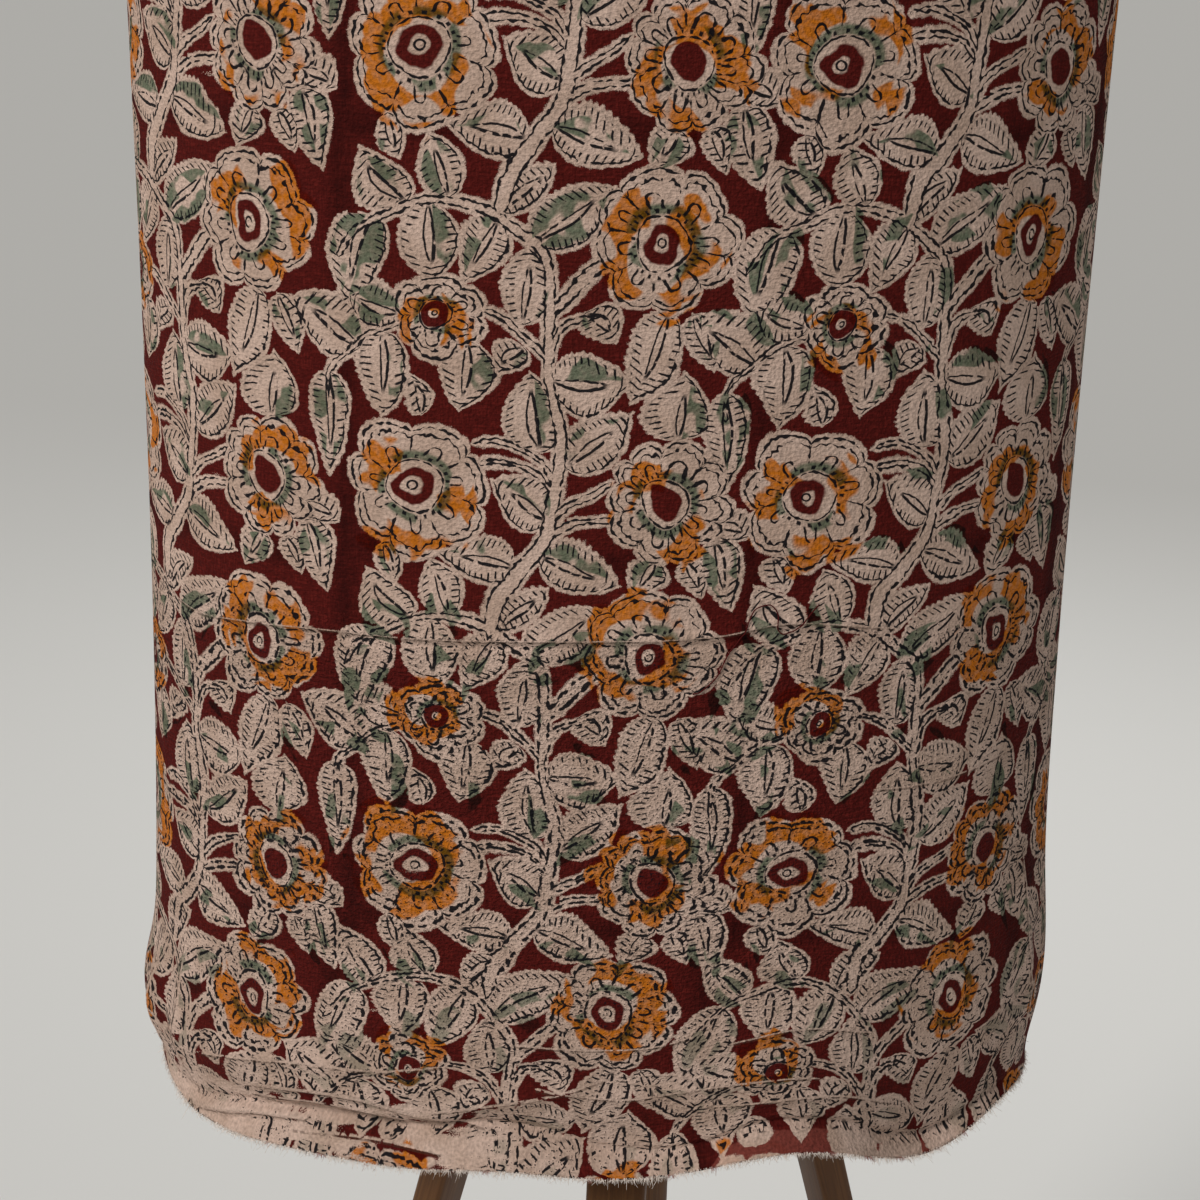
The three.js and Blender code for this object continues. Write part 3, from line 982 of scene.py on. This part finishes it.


# The dyes and inks of the print, the weave and creases of the cloth under it, and some painted shade.
def printed_cotton(kind):
    surface = Surface(kind.name)
    flat = surface.vector("flat")
    across, up, seam = surface.parts(flat)
    fine = surface.noise(flat, 2.1, 0.0) - 0.5
    press = surface.noise(flat, 0.34, 1.0)
    patches = surface.noise(flat, 0.055, 1.0)
    dabs = surface.noise(flat, 0.085, 1.0)
    slow = surface.noise(flat, 0.13, 0.0) * 0.75 - 0.375
    wobble = surface.noise(flat, 0.45, 0.0) * 1.15 - 0.575 + slow * 1.4
    low = up.fall(SPECKLED_BELOW - 4.0, SPECKLED_BELOW + 4.0)
    # 1 near the hem, where the print thins; it also darkens the colour there as painted shade.
    thinned_and_shaded = up.fall(15.0, THINNED_BELOW)
    stroke = ((press - 0.5) * (2.8 + low * 4.2) + 0.72 + low * 0.28).most(0.05).least(1.4)

    layers = []
    if kind.flowers:
        flower, flower_ink, heart, flower_share = flower_marks(surface, wobble, stroke, slow * 0.16)
        layers.append((flower, flower_ink))
    if kind.leafy:
        layers.append(leafy_marks(surface, wobble, stroke, slow, kind.leafy))
    reach, ink = layers[0]
    for gap, ink_below in layers[1:]:
        ink = ink.most(ink_below * reach.rise(-0.6, 0.2))
        reach = reach.least(gap)
    # Pebbly grain of the weave for the bump; in the colour, partly tone and partly painted shade in its
    # hollows.
    grain = surface.noise(flat, (0.68, 0.86, 1.0), 1.0)
    specks = grain.rise(0.66, 0.7) * low * reach.fall(-1.0, -0.5) * 0.9
    ink = (ink * stroke.rise(0.15, 0.4)).most(specks)

    crease, above, bare_half = surface.parts(surface.vector("creases"))
    strips = surface.noise(flat, (0.03, 0.14, 1.0), 1.0)
    sound = up.rise(6.0, WORN_BELOW) * 0.42 + across.rise(WORN_LEFT_OF - 60.0, WORN_LEFT_OF) * 0.5
    wear = strips + fine * 0.12 - sound
    bare = (crease.abs() - bare_half + fine * 0.5).fall(-0.3, 0.25) * press.rise(0.34, 0.44)
    # A thin dark line just below each bare crease: soil, and painted shade under its ridge.
    soil_and_shade = (crease + bare_half + 0.5).line(0.9) * bare_half.rise(0.05, 0.2) * press.rise(0.3, 0.5)
    tucked = (above + wobble * 0.4).fall(-0.7, 0.2)
    missed = bare.most(tucked * 0.9).most(wear.rise(0.53, 0.56))

    dyed = (up + patches * 75.0).rise(HEM_BARE, HEM_BARE + 3.0)
    ground = (reach + fine * 0.8 - thinned_and_shaded * (0.2 + slow * 3.6)).rise(HALO - 0.35, HALO + 0.35) * dyed
    if kind.flowers:
        ground = ground.most(heart)
    ground = ground * (1.0 - bare.most(wear.rise(0.43, 0.46)))

    slub = surface.noise(flat, (0.16, 1.3, 1.0), 0.0)
    warp = surface.noise(flat, (1.5, 0.2, 1.0), 0.0)
    weave = slub + warp
    cotton = surface.mix(patches.rise(0.3, 0.75), COTTON, COTTON_SHADE)
    maroon = surface.mix(weave.rise(1.02, 1.35), MAROON, MAROON_PALE)
    maroon = surface.dimmed(maroon, 1.0 - seam * 0.5 * (slow + 0.9))
    maroon = surface.mix(tucked, maroon, MAROON_SOAKED)

    colour = surface.mix(ground, cotton, maroon)
    greens = []
    if kind.leafy:
        greens.append(green_dabs(surface, dabs, slow) * (1.0 - thinned_and_shaded * 0.7))
    if kind.flowers:
        greens.append(green_ring(flower_share, dabs))
    for green in greens:
        colour = surface.dyed(colour, green * (1.0 - missed * 0.8) * (0.65 + press * 0.5).least(0.95), GREEN)
    if kind.flowers:
        orange = orange_dabs(surface, (0.7 - low) * 0.07 + patches, wobble) * (1.0 - missed * 0.95)
        colour = surface.dyed(colour, orange * (0.7 + press * 0.5).least(1.0), ORANGE)
    colour = surface.mix(ink * (0.98 - missed * 0.95), colour, BLACK)
    colour = surface.mix(soil_and_shade * 0.5, colour, SOIL_AND_SHADE)
    # Painted shade towards the hem; the weave's own tone; the grain, partly tone and partly painted shade.
    colour = surface.dimmed(colour, 0.57 - thinned_and_shaded * 0.1 + weave * 0.11 + grain * 0.64)

    crinkle = surface.noise(flat, (0.3, 0.45, 1.0), 0.0)
    height = grain * (1.2 + low * 0.9 - thinned_and_shaded * 1.1) + crinkle * (0.3 + low * 0.8 - thinned_and_shaded * 0.5)
    surface.bump(height, 0.65 * MM, 0.85)
    return surface.finish(colour, 0.84 + weave * 0.08, MATTE)


# The back of the cloth, through which the dye shows faintly.
def cotton_back():
    surface = Surface("cotton_back")
    flat = surface.vector("flat")
    bleed = surface.noise(flat, 0.06, 2.0)
    colour = surface.mix(bleed.rise(0.4, 0.62), COTTON, COTTON_BLED)
    weave = surface.noise(flat, (0.16, 1.3, 1.0), 1.0)
    surface.bump(weave, 0.4 * MM, 0.4)
    return surface.finish(surface.dimmed(colour, 0.8 + weave * 0.2), 0.85 + weave * 0.08, MATTE)


# Loose ends of the yarn, pale with dyed stretches, or red where the attribute's last number is 1.
def yarn():
    surface = Surface("yarn")
    flat = surface.vector("flat")
    _, _, red = surface.parts(flat)
    dyed = surface.noise(flat, 0.11, 1.0).rise(0.62, 0.68)
    colour = surface.mix(dyed, YARN, YARN_DYED)
    colour = surface.mix(red, colour, YARN_RED)
    twist = surface.noise(flat, 1.6, 1.0)
    return surface.finish(surface.dimmed(colour, 0.8 + twist * 0.4), 0.86 + twist * 0.1, MATTE)


# The cover of the form, sewn from panels: the attribute's last number is the way to the nearest seam.
def linen():
    surface = Surface("form_linen")
    flat = surface.vector("flat")
    _, up, seam = surface.parts(flat)
    weft = surface.noise(flat, (0.22, 1.7, 0.0), 1.0)
    warp = surface.noise(flat, (1.7, 0.22, 0.0), 1.0)
    weave = weft + warp
    age = surface.noise(flat, 0.02, 3.0)
    colour = surface.mix(weave.rise(0.75, 1.3), LINEN_SHADE, LINEN)
    colour = surface.mix(age.rise(0.45, 0.75) * 0.35, colour, LINEN_AGED)
    groove = seam.fall(0.3, 1.1)
    stitch = (seam - 2.8).line(0.8) * (up / 3.2).wave().rise(0.12, 0.18)
    colour = surface.mix(groove * 0.6, colour, LINEN_SEAM)
    colour = surface.mix(stitch * 0.7, colour, LINEN_STITCH)
    surface.bump(weave * 0.5 - groove * 1.2 + stitch * 0.5, 0.7 * MM, 0.6)
    return surface.finish(colour, 0.8 + weave * 0.08, LINEN_GLOSS)


# Oiled wood, its grain along the last number of the attribute.
def wood():
    surface = Surface("wood")
    grain = surface.vector("grain")
    growth = surface.noise(grain, (0.09, 0.09, 0.004), 3.0, False)
    rings = (growth * 9.0).wave() * 2.0
    pores = surface.noise(grain, (1.6, 1.6, 0.05), 1.0, False)
    colour = surface.mix(rings.rise(0.1, 0.95), WOOD, WOOD_PALE)
    colour = surface.mix(pores.fall(0.28, 0.42) * 0.35, colour, WOOD_PORE)
    surface.bump(pores + rings * 0.3, 0.25 * MM, 0.5)
    return surface.finish(colour, 0.42 + pores * 0.2, WOOD_GLOSS)


def set_vectors(mesh, name, domain, values):
    attribute = mesh.attributes.new(name, "FLOAT_VECTOR", domain)
    attribute.data.foreach_set("vector", np.ascontiguousarray(values, np.float32).ravel())


# The map that the print is baked through: most of it for the front, strips at its foot for the rest.
BAKE_MAP = "OFBake"
FRONT_HALF = 300.0
FRONT_SHARE = 0.84
BACK_STRIP = 0.1
EDGE_STRIP = 0.03
EDGE_INSET = 0.2


def set_bake_map(mesh, corners, behind, columns, rows):
    margin = (1 - FRONT_SHARE) / 2
    places = (-HALF_WIDTH, -FRONT_HALF, FRONT_HALF, HALF_WIDTH)
    across = np.interp(corners[..., 0], places, (0, margin, 1 - margin, 1))
    up = corners[..., 1] / PANEL_DROP
    start = columns * rows
    foot = BACK_STRIP + EDGE_STRIP
    down = np.where(np.arange(len(corners))[:, None] < start, foot + (1 - foot) * up, BACK_STRIP * up)
    for number, count in enumerate((columns, columns, rows, rows)):
        edge = slice(start, start + count)
        if count == rows:
            across[edge] = up[edge]
        inset = EDGE_INSET + (1 - 2 * EDGE_INSET) * behind[edge]
        down[edge] = BACK_STRIP + EDGE_STRIP * (number + inset) / 4
        start += count
    layer = mesh.uv_layers.new(name=BAKE_MAP)
    layer.uv.foreach_set("vector", np.stack([across, down], -1).astype(np.float32).ravel())


def make_cloth():
    rows = sheet_rows()
    columns = np.linspace(-HALF_WIDTH, HALF_WIDTH, SHEET_COLUMNS + 1)
    flat = np.stack(np.meshgrid(columns, rows), -1).reshape(-1, 2)
    lifts = (OUTER_LIFT, OUTER_LIFT - SHEET_THICKNESS)
    points = np.concatenate([cloth_points(flat, lift) for lift in lifts])
    printed, back = sheet_faces(SHEET_COLUMNS, len(rows) - 1)
    faces = np.concatenate([printed, back])
    materials = [*(printed_cotton(kind) for kind in PRINTS), cotton_back()]
    cloth = add_object("panel_cloth", points, faces.tolist(), materials)
    mesh = cloth.data

    corners = carved(flat)[printed % len(flat)]
    middles = corners.mean(1)
    key = place_leaves(False)
    nearest_leaf = nearest_leaves(key, middles)
    dabs = place_leaves(True)
    nearest_dab = nearest_leaves(dabs, middles)
    flowers, flower_gap = flowers_of(middles, corners, False)
    blooms, bloom_gap = flowers_of(middles, corners, True)
    stems, stem_gaps = nearest_lines(placed_stems(), middles, corners)
    true_corners = flat[printed % len(flat)]
    layers = {
        "leaf_a": leaves_of(key, nearest_leaf.which[0], corners),
        "leaf_b": leaves_of(key, nearest_leaf.which[1], corners),
        "dab": leaves_of(dabs, nearest_dab.which[0], corners),
        "flower": flowers,
        "bloom": blooms,
        "stem_a": stems[0],
        "stem_b": stems[1],
        "creases": creases_of(true_corners.mean(1), true_corners),
    }
    unprinted = np.zeros((len(back), 4, 3))
    for name, values in layers.items():
        set_vectors(mesh, name, "CORNER", np.concatenate([values, unprinted]))
    every_corner = flat[faces % len(flat)]
    seams = seam_strength(every_corner)[..., None]
    set_vectors(mesh, "flat", "CORNER", np.concatenate([every_corner, seams], -1))
    numbers = print_numbers(nearest_leaf.gap, stem_gaps, nearest_dab.gap[0], flower_gap, bloom_gap)
    mesh.polygons.foreach_set("material_index", np.append(numbers, np.full(len(back), len(PRINTS), np.int32)))
    set_bake_map(mesh, every_corner, faces >= len(flat), SHEET_COLUMNS, len(rows) - 1)
    return cloth


STRAND_RINGS = 3
STRAND_SIDES = 3
# A direction that no strand runs along.
STRAND_ASKEW = np.array([0.31, 0.62, 0.72])


# Rings of points joined into closed skins, with a flat fan at each end. lofts counts skins of equal rings.
def loft_faces(rings, count, lofts=1):
    start = np.arange(lofts)[:, None, None] * rings * count
    ring = np.arange(rings - 1)[:, None] * count
    corner = np.arange(count)
    following = (corner + 1) % count
    a = (start + ring + corner).ravel()
    b = (start + ring + following).ravel()
    sides = np.stack([a, b, b + count, a + count], 1).tolist()
    first = (start[:, 0] + corner[::-1]).tolist()
    last = (start[:, 0] + (rings - 1) * count + corner).tolist()
    return sides + first + last


# Tapering threads as one mesh. paths is an array of threads, points along each and coordinates.
def thread_mesh(name, paths, radii, flat, material):
    count, rings = paths.shape[:2]
    ahead = np.gradient(paths, axis=1)
    ahead /= np.linalg.norm(ahead, axis=2)[..., None]
    side = np.cross(ahead, STRAND_ASKEW)
    side /= np.linalg.norm(side, axis=2)[..., None]
    other = np.cross(ahead, side)
    turns = 2 * math.pi * np.arange(STRAND_SIDES) / STRAND_SIDES
    reach = side[:, :, None] * np.cos(turns)[:, None] + other[:, :, None] * np.sin(turns)[:, None]
    points = paths[:, :, None] + reach * radii[:, :, None, None]
    made = add_object(name, points.reshape(-1, 3), loft_faces(rings, STRAND_SIDES, count), [material])
    spread = np.repeat(flat, rings * STRAND_SIDES, axis=0)
    spread[:, 1] += np.tile(np.repeat(np.arange(rings), STRAND_SIDES), count)
    set_vectors(made.data, "flat", "POINT", spread)
    return made


# Raw edges of the panel. inward points from the edge into the cloth, spacing is between strands.
RawEdge = namedtuple("RawEdge", "start end inward spacing longest")
RAW_EDGES = [
    RawEdge((-HALF_WIDTH, 0), (HALF_WIDTH, 0), (0, 1), 0.11, 3.0),
    RawEdge((-HALF_WIDTH, PANEL_DROP), (HALF_WIDTH, PANEL_DROP), (0, -1), 1.6, 2.4),
    RawEdge((HALF_WIDTH, 0), (HALF_WIDTH, PANEL_DROP), (-1, 0), 1.6, 2.4),
]
STRAND_RADIUS = 0.16
STRAND_TIP = 0.35
STRAND_ROOT = 0.5
STRAND_AIM = 2.5
STRAND_INSET = 0.05
STRAND_SHORTEST = 0.6
STRAND_DROOP = 0.15
STRAND_LEAN = 0.3
STRAND_CURL = 0.45
# Shapes of the chances of a strand's length, and least and most of its thickness.
STRAND_LENGTHS = (1.3, 3.2)
STRAND_SIZES = (0.7, 1.2)
LONG_SHARE = 0.01
LONG_BY = 1.5


def make_fray():
    rng = np.random.default_rng(5)
    paths = []
    roots = []
    for edge in RAW_EDGES:
        start = np.array(edge.start, float)
        run = np.array(edge.end, float) - start
        count = int(np.hypot(*run) / edge.spacing)
        place = start + run * rng.uniform(0, 1, count)[:, None]
        inward = np.array(edge.inward, float)
        depth = rng.uniform(STRAND_INSET, SHEET_THICKNESS - STRAND_INSET, count)
        root = cloth_points(place + inward * STRAND_ROOT, OUTER_LIFT - depth)
        away = root - cloth_points(place + inward * STRAND_AIM, OUTER_LIFT - depth)
        away /= np.linalg.norm(away, axis=1)[:, None]
        out = cloth_points(place + inward * STRAND_ROOT, OUTER_LIFT + 1 - depth) - root
        out /= np.linalg.norm(out, axis=1)[:, None]
        along = np.cross(away, out)
        length = (STRAND_SHORTEST + edge.longest * rng.beta(*STRAND_LENGTHS, count)) * MM
        length[rng.uniform(0, 1, count) < LONG_SHARE] *= LONG_BY
        lean = rng.normal(0, STRAND_LEAN, (count, 2))
        curl = rng.normal(0, STRAND_CURL, (count, 2))
        share = np.linspace(0, 1, STRAND_RINGS)[None, :, None]
        heading = away + along * lean[:, :1] + out * (STRAND_DROOP + 0.5 * lean[:, 1:])
        bend = along * curl[:, :1] + out * curl[:, 1:]
        path = root[:, None] + length[:, None, None] * (heading[:, None] * share + bend[:, None] * share**2)
        paths.append(path)
        roots.append(np.column_stack([place, np.zeros(count)]))
    paths = np.concatenate(paths)
    taper = np.linspace(1, STRAND_TIP, STRAND_RINGS)
    radii = STRAND_RADIUS * MM * taper * rng.uniform(*STRAND_SIZES, (len(paths), 1))
    return thread_mesh("raw_edge_fray", paths, radii, np.concatenate(roots), yarn())


# Threads pulled loose: places of the flat cloth and how far off it. red is 1 for a dyed thread.
Thread = namedtuple("Thread", "points radius red")
LOOSE_THREADS = [
    Thread(
        points=[
            (33, 213, 0.1), (36, 214, 0.5), (42, 220, 0.4), (46, 229, 0.4), (51, 236, 0.5), (54, 244, 0.5),
            (56, 247, 0.7), (61, 248, 0.9), (64, 244, 0.8), (64, 239, 0.6), (66, 236, 0.6), (69, 236.5, 0.7),
            (72, 238, 0.8), (78, 245, 0.5), (80, 247, 0.1),
        ],
        radius=0.3,
        red=1,
    ),
    Thread(
        points=[(281, 385, 0.2), (284, 388, 2.0), (286, 391, 5.5), (287, 395, 9.0), (285, 399, 11.5)],
        radius=0.14,
        red=0,
    ),
]
THREAD_RINGS = 80


# Evenly spaced points along a line of points.
def even_points(line, count):
    way = np.concatenate([[0], np.cumsum(np.linalg.norm(np.diff(line, axis=0), axis=1))])
    wanted = np.linspace(0, way[-1], count)
    return np.stack([np.interp(wanted, way, column) for column in line.T], 1)


def make_threads():
    lines = [even_points(smooth_line(thread.points), THREAD_RINGS) for thread in LOOSE_THREADS]
    paths = np.array([cloth_points(line[:, :2], OUTER_LIFT + line[:, 2]) for line in lines])
    radii = np.array([np.full(THREAD_RINGS, thread.radius * MM) for thread in LOOSE_THREADS])
    roots = np.array([(*thread.points[0][:2], thread.red) for thread in LOOSE_THREADS], float)
    return thread_mesh("loose_threads", paths, radii, roots, yarn())


cloth = make_cloth()
fray = make_fray()
threads = make_threads()
for piece in (cloth, fray, threads):
    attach(piece, "root")
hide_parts("kalamkari_panel")


# The padded form. inset is how far its surface lies inside the middle of the cloth.
FormSide = namedtuple("FormSide", "up inset")
FORM_SIDES = [
    FormSide(50, 11), FormSide(90, 8), FormSide(180, 6.5), FormSide(300, 6),
    FormSide(420, 5.5), FormSide(520, 3), FormSide(560, 1.3), FormSide(604, 1.3),
]
FormRing = namedtuple("FormRing", "up half_width half_depth")
FORM_FOOT = [
    FormRing(33, 163, 72), FormRing(33.5, 171, 80), FormRing(36, 179, 88), FormRing(41, 184, 93),
]
FORM_SHOULDERS = [
    FormRing(628, 184, 100), FormRing(655, 176, 96), FormRing(680, 161, 89), FormRing(702, 136, 80),
    FormRing(720, 104, 69), FormRing(735, 75, 60), FormRing(752, 58, 54), FormRing(775, 53, 52),
    FormRing(798, 53, 52), FormRing(799.6, 51.5, 50.5), FormRing(800, 49, 48),
]
FORM_SEGMENTS = 144
SEAM_TURNS = [-90, -52, -128, 0, 180, 52, 90, 128]
NECK_SEAM = 752.0
SEAM_DIP = 0.8
SEAM_WIDTH = 3.0


# Level rings of points round an upright axis, and the angles of the points.
def rings_round(levels, half_widths, half_depths, segments):
    angle = 2 * math.pi * np.arange(segments) / segments
    x = half_widths[:, None] * np.cos(angle)
    y = half_depths[:, None] * np.sin(angle)
    return angle, x, y, np.broadcast_to(levels[:, None], x.shape)


def make_form():
    sides = []
    for side in FORM_SIDES:
        half_width = cloth_half_width(side.up)
        sides.append((side.up, half_width - side.inset, DEPTH_RATIO * half_width - side.inset))
    rings = smooth_line([*FORM_FOOT, *sides, *FORM_SHOULDERS])
    angle, x, y, z = rings_round(*rings.T, FORM_SEGMENTS)
    away = np.min([np.abs(turn_between(np.degrees(angle), seam)) for seam in SEAM_TURNS], axis=0)
    radius = np.hypot(x, y)
    seam = np.minimum(np.radians(away) * radius, np.abs(z - NECK_SEAM))
    shrink = 1 - SEAM_DIP * bell(seam, SEAM_WIDTH) / radius
    points = np.stack([x * shrink, y * shrink, z], -1).reshape(-1, 3) * MM + CLOTH_AXIS
    form = add_object("form_cover", points, loft_faces(len(rings), FORM_SEGMENTS), [linen()])
    flat = np.stack([angle * radius, z, seam], -1).reshape(-1, 3)
    set_vectors(form.data, "flat", "POINT", flat)
    return form


form = make_form()
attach(form, "root")
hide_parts("form_body")

STAND_TURN = -5.0
LEG_WIDTH = 25.0
LEG_DEPTH = 17.0
LEG_TAPER = 0.8
LEG_EDGE = 2.6
FOOT_EDGE = 1.2
FOOT_ROUND = 0.2
LEG_TOP_RADIUS = 76.0
LEG_FLOOR_RADIUS = 272.0
LEG_AZIMUTHS = {"leg_front": -90.0, "leg_right": 30.0, "leg_left": 150.0}
LEG_RINGS = 24
EDGE_STEPS = 4
Turned = namedtuple("Turned", "node low_edge high_edge grain_up")
TURNED = [
    Turned("leg_hub", 5.0, 1.0, False),
    Turned("centre_column", 7.0, 1.0, True),
    Turned("neck_cap", 1.0, 6.0, False),
]
TURNED_SEGMENTS = 96
TURNED_SHARES = (0.35, 0.5, 0.65)
TURNED_FAN = 0.4
ROUND_STEPS = 6


# One level ring of a leg with rounded corners, drawn in by the given length at its ends.
def leg_ring(share, drawn_in):
    scale = LEG_TAPER + (1 - LEG_TAPER) * share
    depth = LEG_DEPTH * scale / 2 - drawn_in
    width = LEG_WIDTH * scale / 2 - drawn_in
    edge = LEG_EDGE * scale
    ring = []
    for quarter, (out, side) in enumerate(((1, 1), (-1, 1), (-1, -1), (1, -1))):
        for step in range(EDGE_STEPS):
            turn = math.pi / 2 * (quarter + step / (EDGE_STEPS - 1))
            across = out * (depth - edge) + edge * math.cos(turn)
            ring.append((across, side * (width - edge) + edge * math.sin(turn)))
    return ring


def make_leg(node, azimuth, material):
    _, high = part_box(node)
    top = high.z / MM
    shaft = [(k / LEG_RINGS, 0) for k in range(1, LEG_RINGS)]
    shares = [(0, FOOT_EDGE), (FOOT_EDGE / top, FOOT_ROUND), *shaft, (1, 0)]
    rings = []
    local = []
    for share, drawn_in in shares:
        middle = LEG_FLOOR_RADIUS + (LEG_TOP_RADIUS - LEG_FLOOR_RADIUS) * share
        for out, side in leg_ring(share, drawn_in):
            rings.append((middle + out, side, top * share))
            local.append((out + azimuth, side, top * share))
    count = 4 * EDGE_STEPS
    turn = math.radians(azimuth + STAND_TURN)
    points = np.array(rings) @ np.array(
        [[math.cos(turn), math.sin(turn), 0], [-math.sin(turn), math.cos(turn), 0], [0, 0, 1]]
    )
    points = points * MM + np.array([CLOTH_AXIS[0] + STAND_OFFSET * MM, CLOTH_AXIS[1], 0])
    leg = add_object(node + "_wood", points, loft_faces(len(shares), count), [material])
    set_vectors(leg.data, "grain", "POINT", np.array(local))
    return leg


# A turned piece with rounded edges, in the place of a node. grain_up is false for a disc cut from a plank.
def make_turned(node, low_edge, high_edge, grain_up, material):
    low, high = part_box(node)
    centre = (low + high) / 2
    radius = (high.x - low.x) / 2 / MM
    bottom, top = low.z / MM, high.z / MM
    outline = [(radius * TURNED_FAN, bottom)]
    for turn in np.linspace(0, math.pi / 2, ROUND_STEPS):
        level = bottom + low_edge - low_edge * math.cos(turn)
        outline.append((radius - low_edge + low_edge * math.sin(turn), level))
    for share in TURNED_SHARES:
        outline.append((radius, bottom + (top - bottom) * share))
    for turn in np.linspace(0, math.pi / 2, ROUND_STEPS):
        level = top - high_edge + high_edge * math.sin(turn)
        outline.append((radius - high_edge + high_edge * math.cos(turn), level))
    outline.append((radius * TURNED_FAN, top))
    radii, levels = np.array(outline).T
    _, x, y, z = rings_round(levels, radii, radii, TURNED_SEGMENTS)
    local = np.stack([x, y, z], -1).reshape(-1, 3)
    points = local * MM + np.array([centre.x, centre.y, 0])
    turned = add_object(node + "_wood", points, loft_faces(len(outline), TURNED_SEGMENTS), [material])
    set_vectors(turned.data, "grain", "POINT", local if grain_up else local[:, [1, 2, 0]])
    return turned


def make_stand():
    material = wood()
    pieces = {node: make_leg(node, azimuth, material) for node, azimuth in LEG_AZIMUTHS.items()}
    for turned in TURNED:
        pieces[turned.node] = make_turned(*turned, material)
    for node, made in pieces.items():
        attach(made, "root")
        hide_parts(node)


make_stand()

# The camera, from the cloth's axis at the hem.
CAMERA_AWAY = (-2.6, -815.9, 506.6)
CAMERA_PITCH = 19.78
CAMERA_ROLL = 1.41
PHOTO_PIXELS = 1200
FOCAL_PIXELS = 2046
SENSOR = 36.0


def make_camera():
    data = bpy.data.cameras.new("camera")
    data.sensor_width = SENSOR
    data.lens = SENSOR * FOCAL_PIXELS / PHOTO_PIXELS
    camera = bpy.data.objects.new("camera", data)
    camera.location = Vector(CLOTH_AXIS + np.array(CAMERA_AWAY) * MM)
    tilt = Euler((math.radians(90 - CAMERA_PITCH), 0, 0)).to_matrix()
    roll = Euler((0, 0, math.radians(CAMERA_ROLL))).to_matrix()
    camera.rotation_euler = (tilt @ roll).to_euler()
    bpy.context.scene.collection.objects.link(camera)
    bpy.context.scene.camera = camera


KEY_AZIMUTH = -49.0
KEY_ELEVATION = 42.0
KEY_SOFTNESS = 20.0
KEY_STRENGTH = 2.1
KEY_COLOUR = (1.0, 0.97, 0.93)
SoftBox = namedtuple("SoftBox", "name place power colour")
SOFT_BOXES = [
    SoftBox("fill", (1.9, -1.4, 1.5), 2, (0.95, 0.97, 1.0)),
    SoftBox("rear", (0.4, 2.2, 2.2), 22, (1.0, 1.0, 1.0)),
]
SOFT_BOX_SIZE = 1.6
SOFT_BOX_AIM = Vector((0, 0, 0.25))
SKY_STRENGTH = 0.15
FLOOR_HALF = 40.0
FLOOR_COLOUR = (0.72, 0.72, 0.7, 1)
FLOOR_ROUGHNESS = 0.9


def make_light(name, kind, power, colour, turn):
    data = bpy.data.lights.new(name, kind)
    data.energy = power
    data.color = colour
    light = bpy.data.objects.new(name, data)
    light.rotation_euler = turn
    bpy.context.scene.collection.objects.link(light)
    return light


# A soft key light from the front left, so far off that the floor is lit evenly, and two soft boxes.
def make_lights():
    turn = (math.radians(90 - KEY_ELEVATION), 0, math.radians(KEY_AZIMUTH))
    key = make_light("key", "SUN", KEY_STRENGTH, KEY_COLOUR, turn)
    key.data.angle = math.radians(KEY_SOFTNESS)
    for box in SOFT_BOXES:
        way = Vector(CLOTH_AXIS) + SOFT_BOX_AIM - Vector(box.place)
        light = make_light(box.name, "AREA", box.power, box.colour, way.to_track_quat("-Z", "Y").to_euler())
        light.location = box.place
        light.data.size = SOFT_BOX_SIZE
    world = bpy.data.worlds.new("studio")
    world.use_nodes = True
    background = world.node_tree.nodes["Background"]
    background.inputs["Color"].default_value = (1, 1, 1, 1)
    background.inputs["Strength"].default_value = SKY_STRENGTH
    bpy.context.scene.world = world
    bpy.context.scene.view_settings.view_transform = "Standard"


def make_floor():
    surface = Surface("floor")
    surface.shader.inputs["Base Color"].default_value = FLOOR_COLOUR
    surface.shader.inputs["Roughness"].default_value = FLOOR_ROUGHNESS
    corners = [(-1, -1), (1, -1), (1, 1), (-1, 1)]
    points = [(x * FLOOR_HALF, y * FLOOR_HALF, 0) for x, y in corners]
    add_object("floor", points, [(0, 1, 2, 3)], [surface.material])


make_camera()
make_floor()
make_lights()
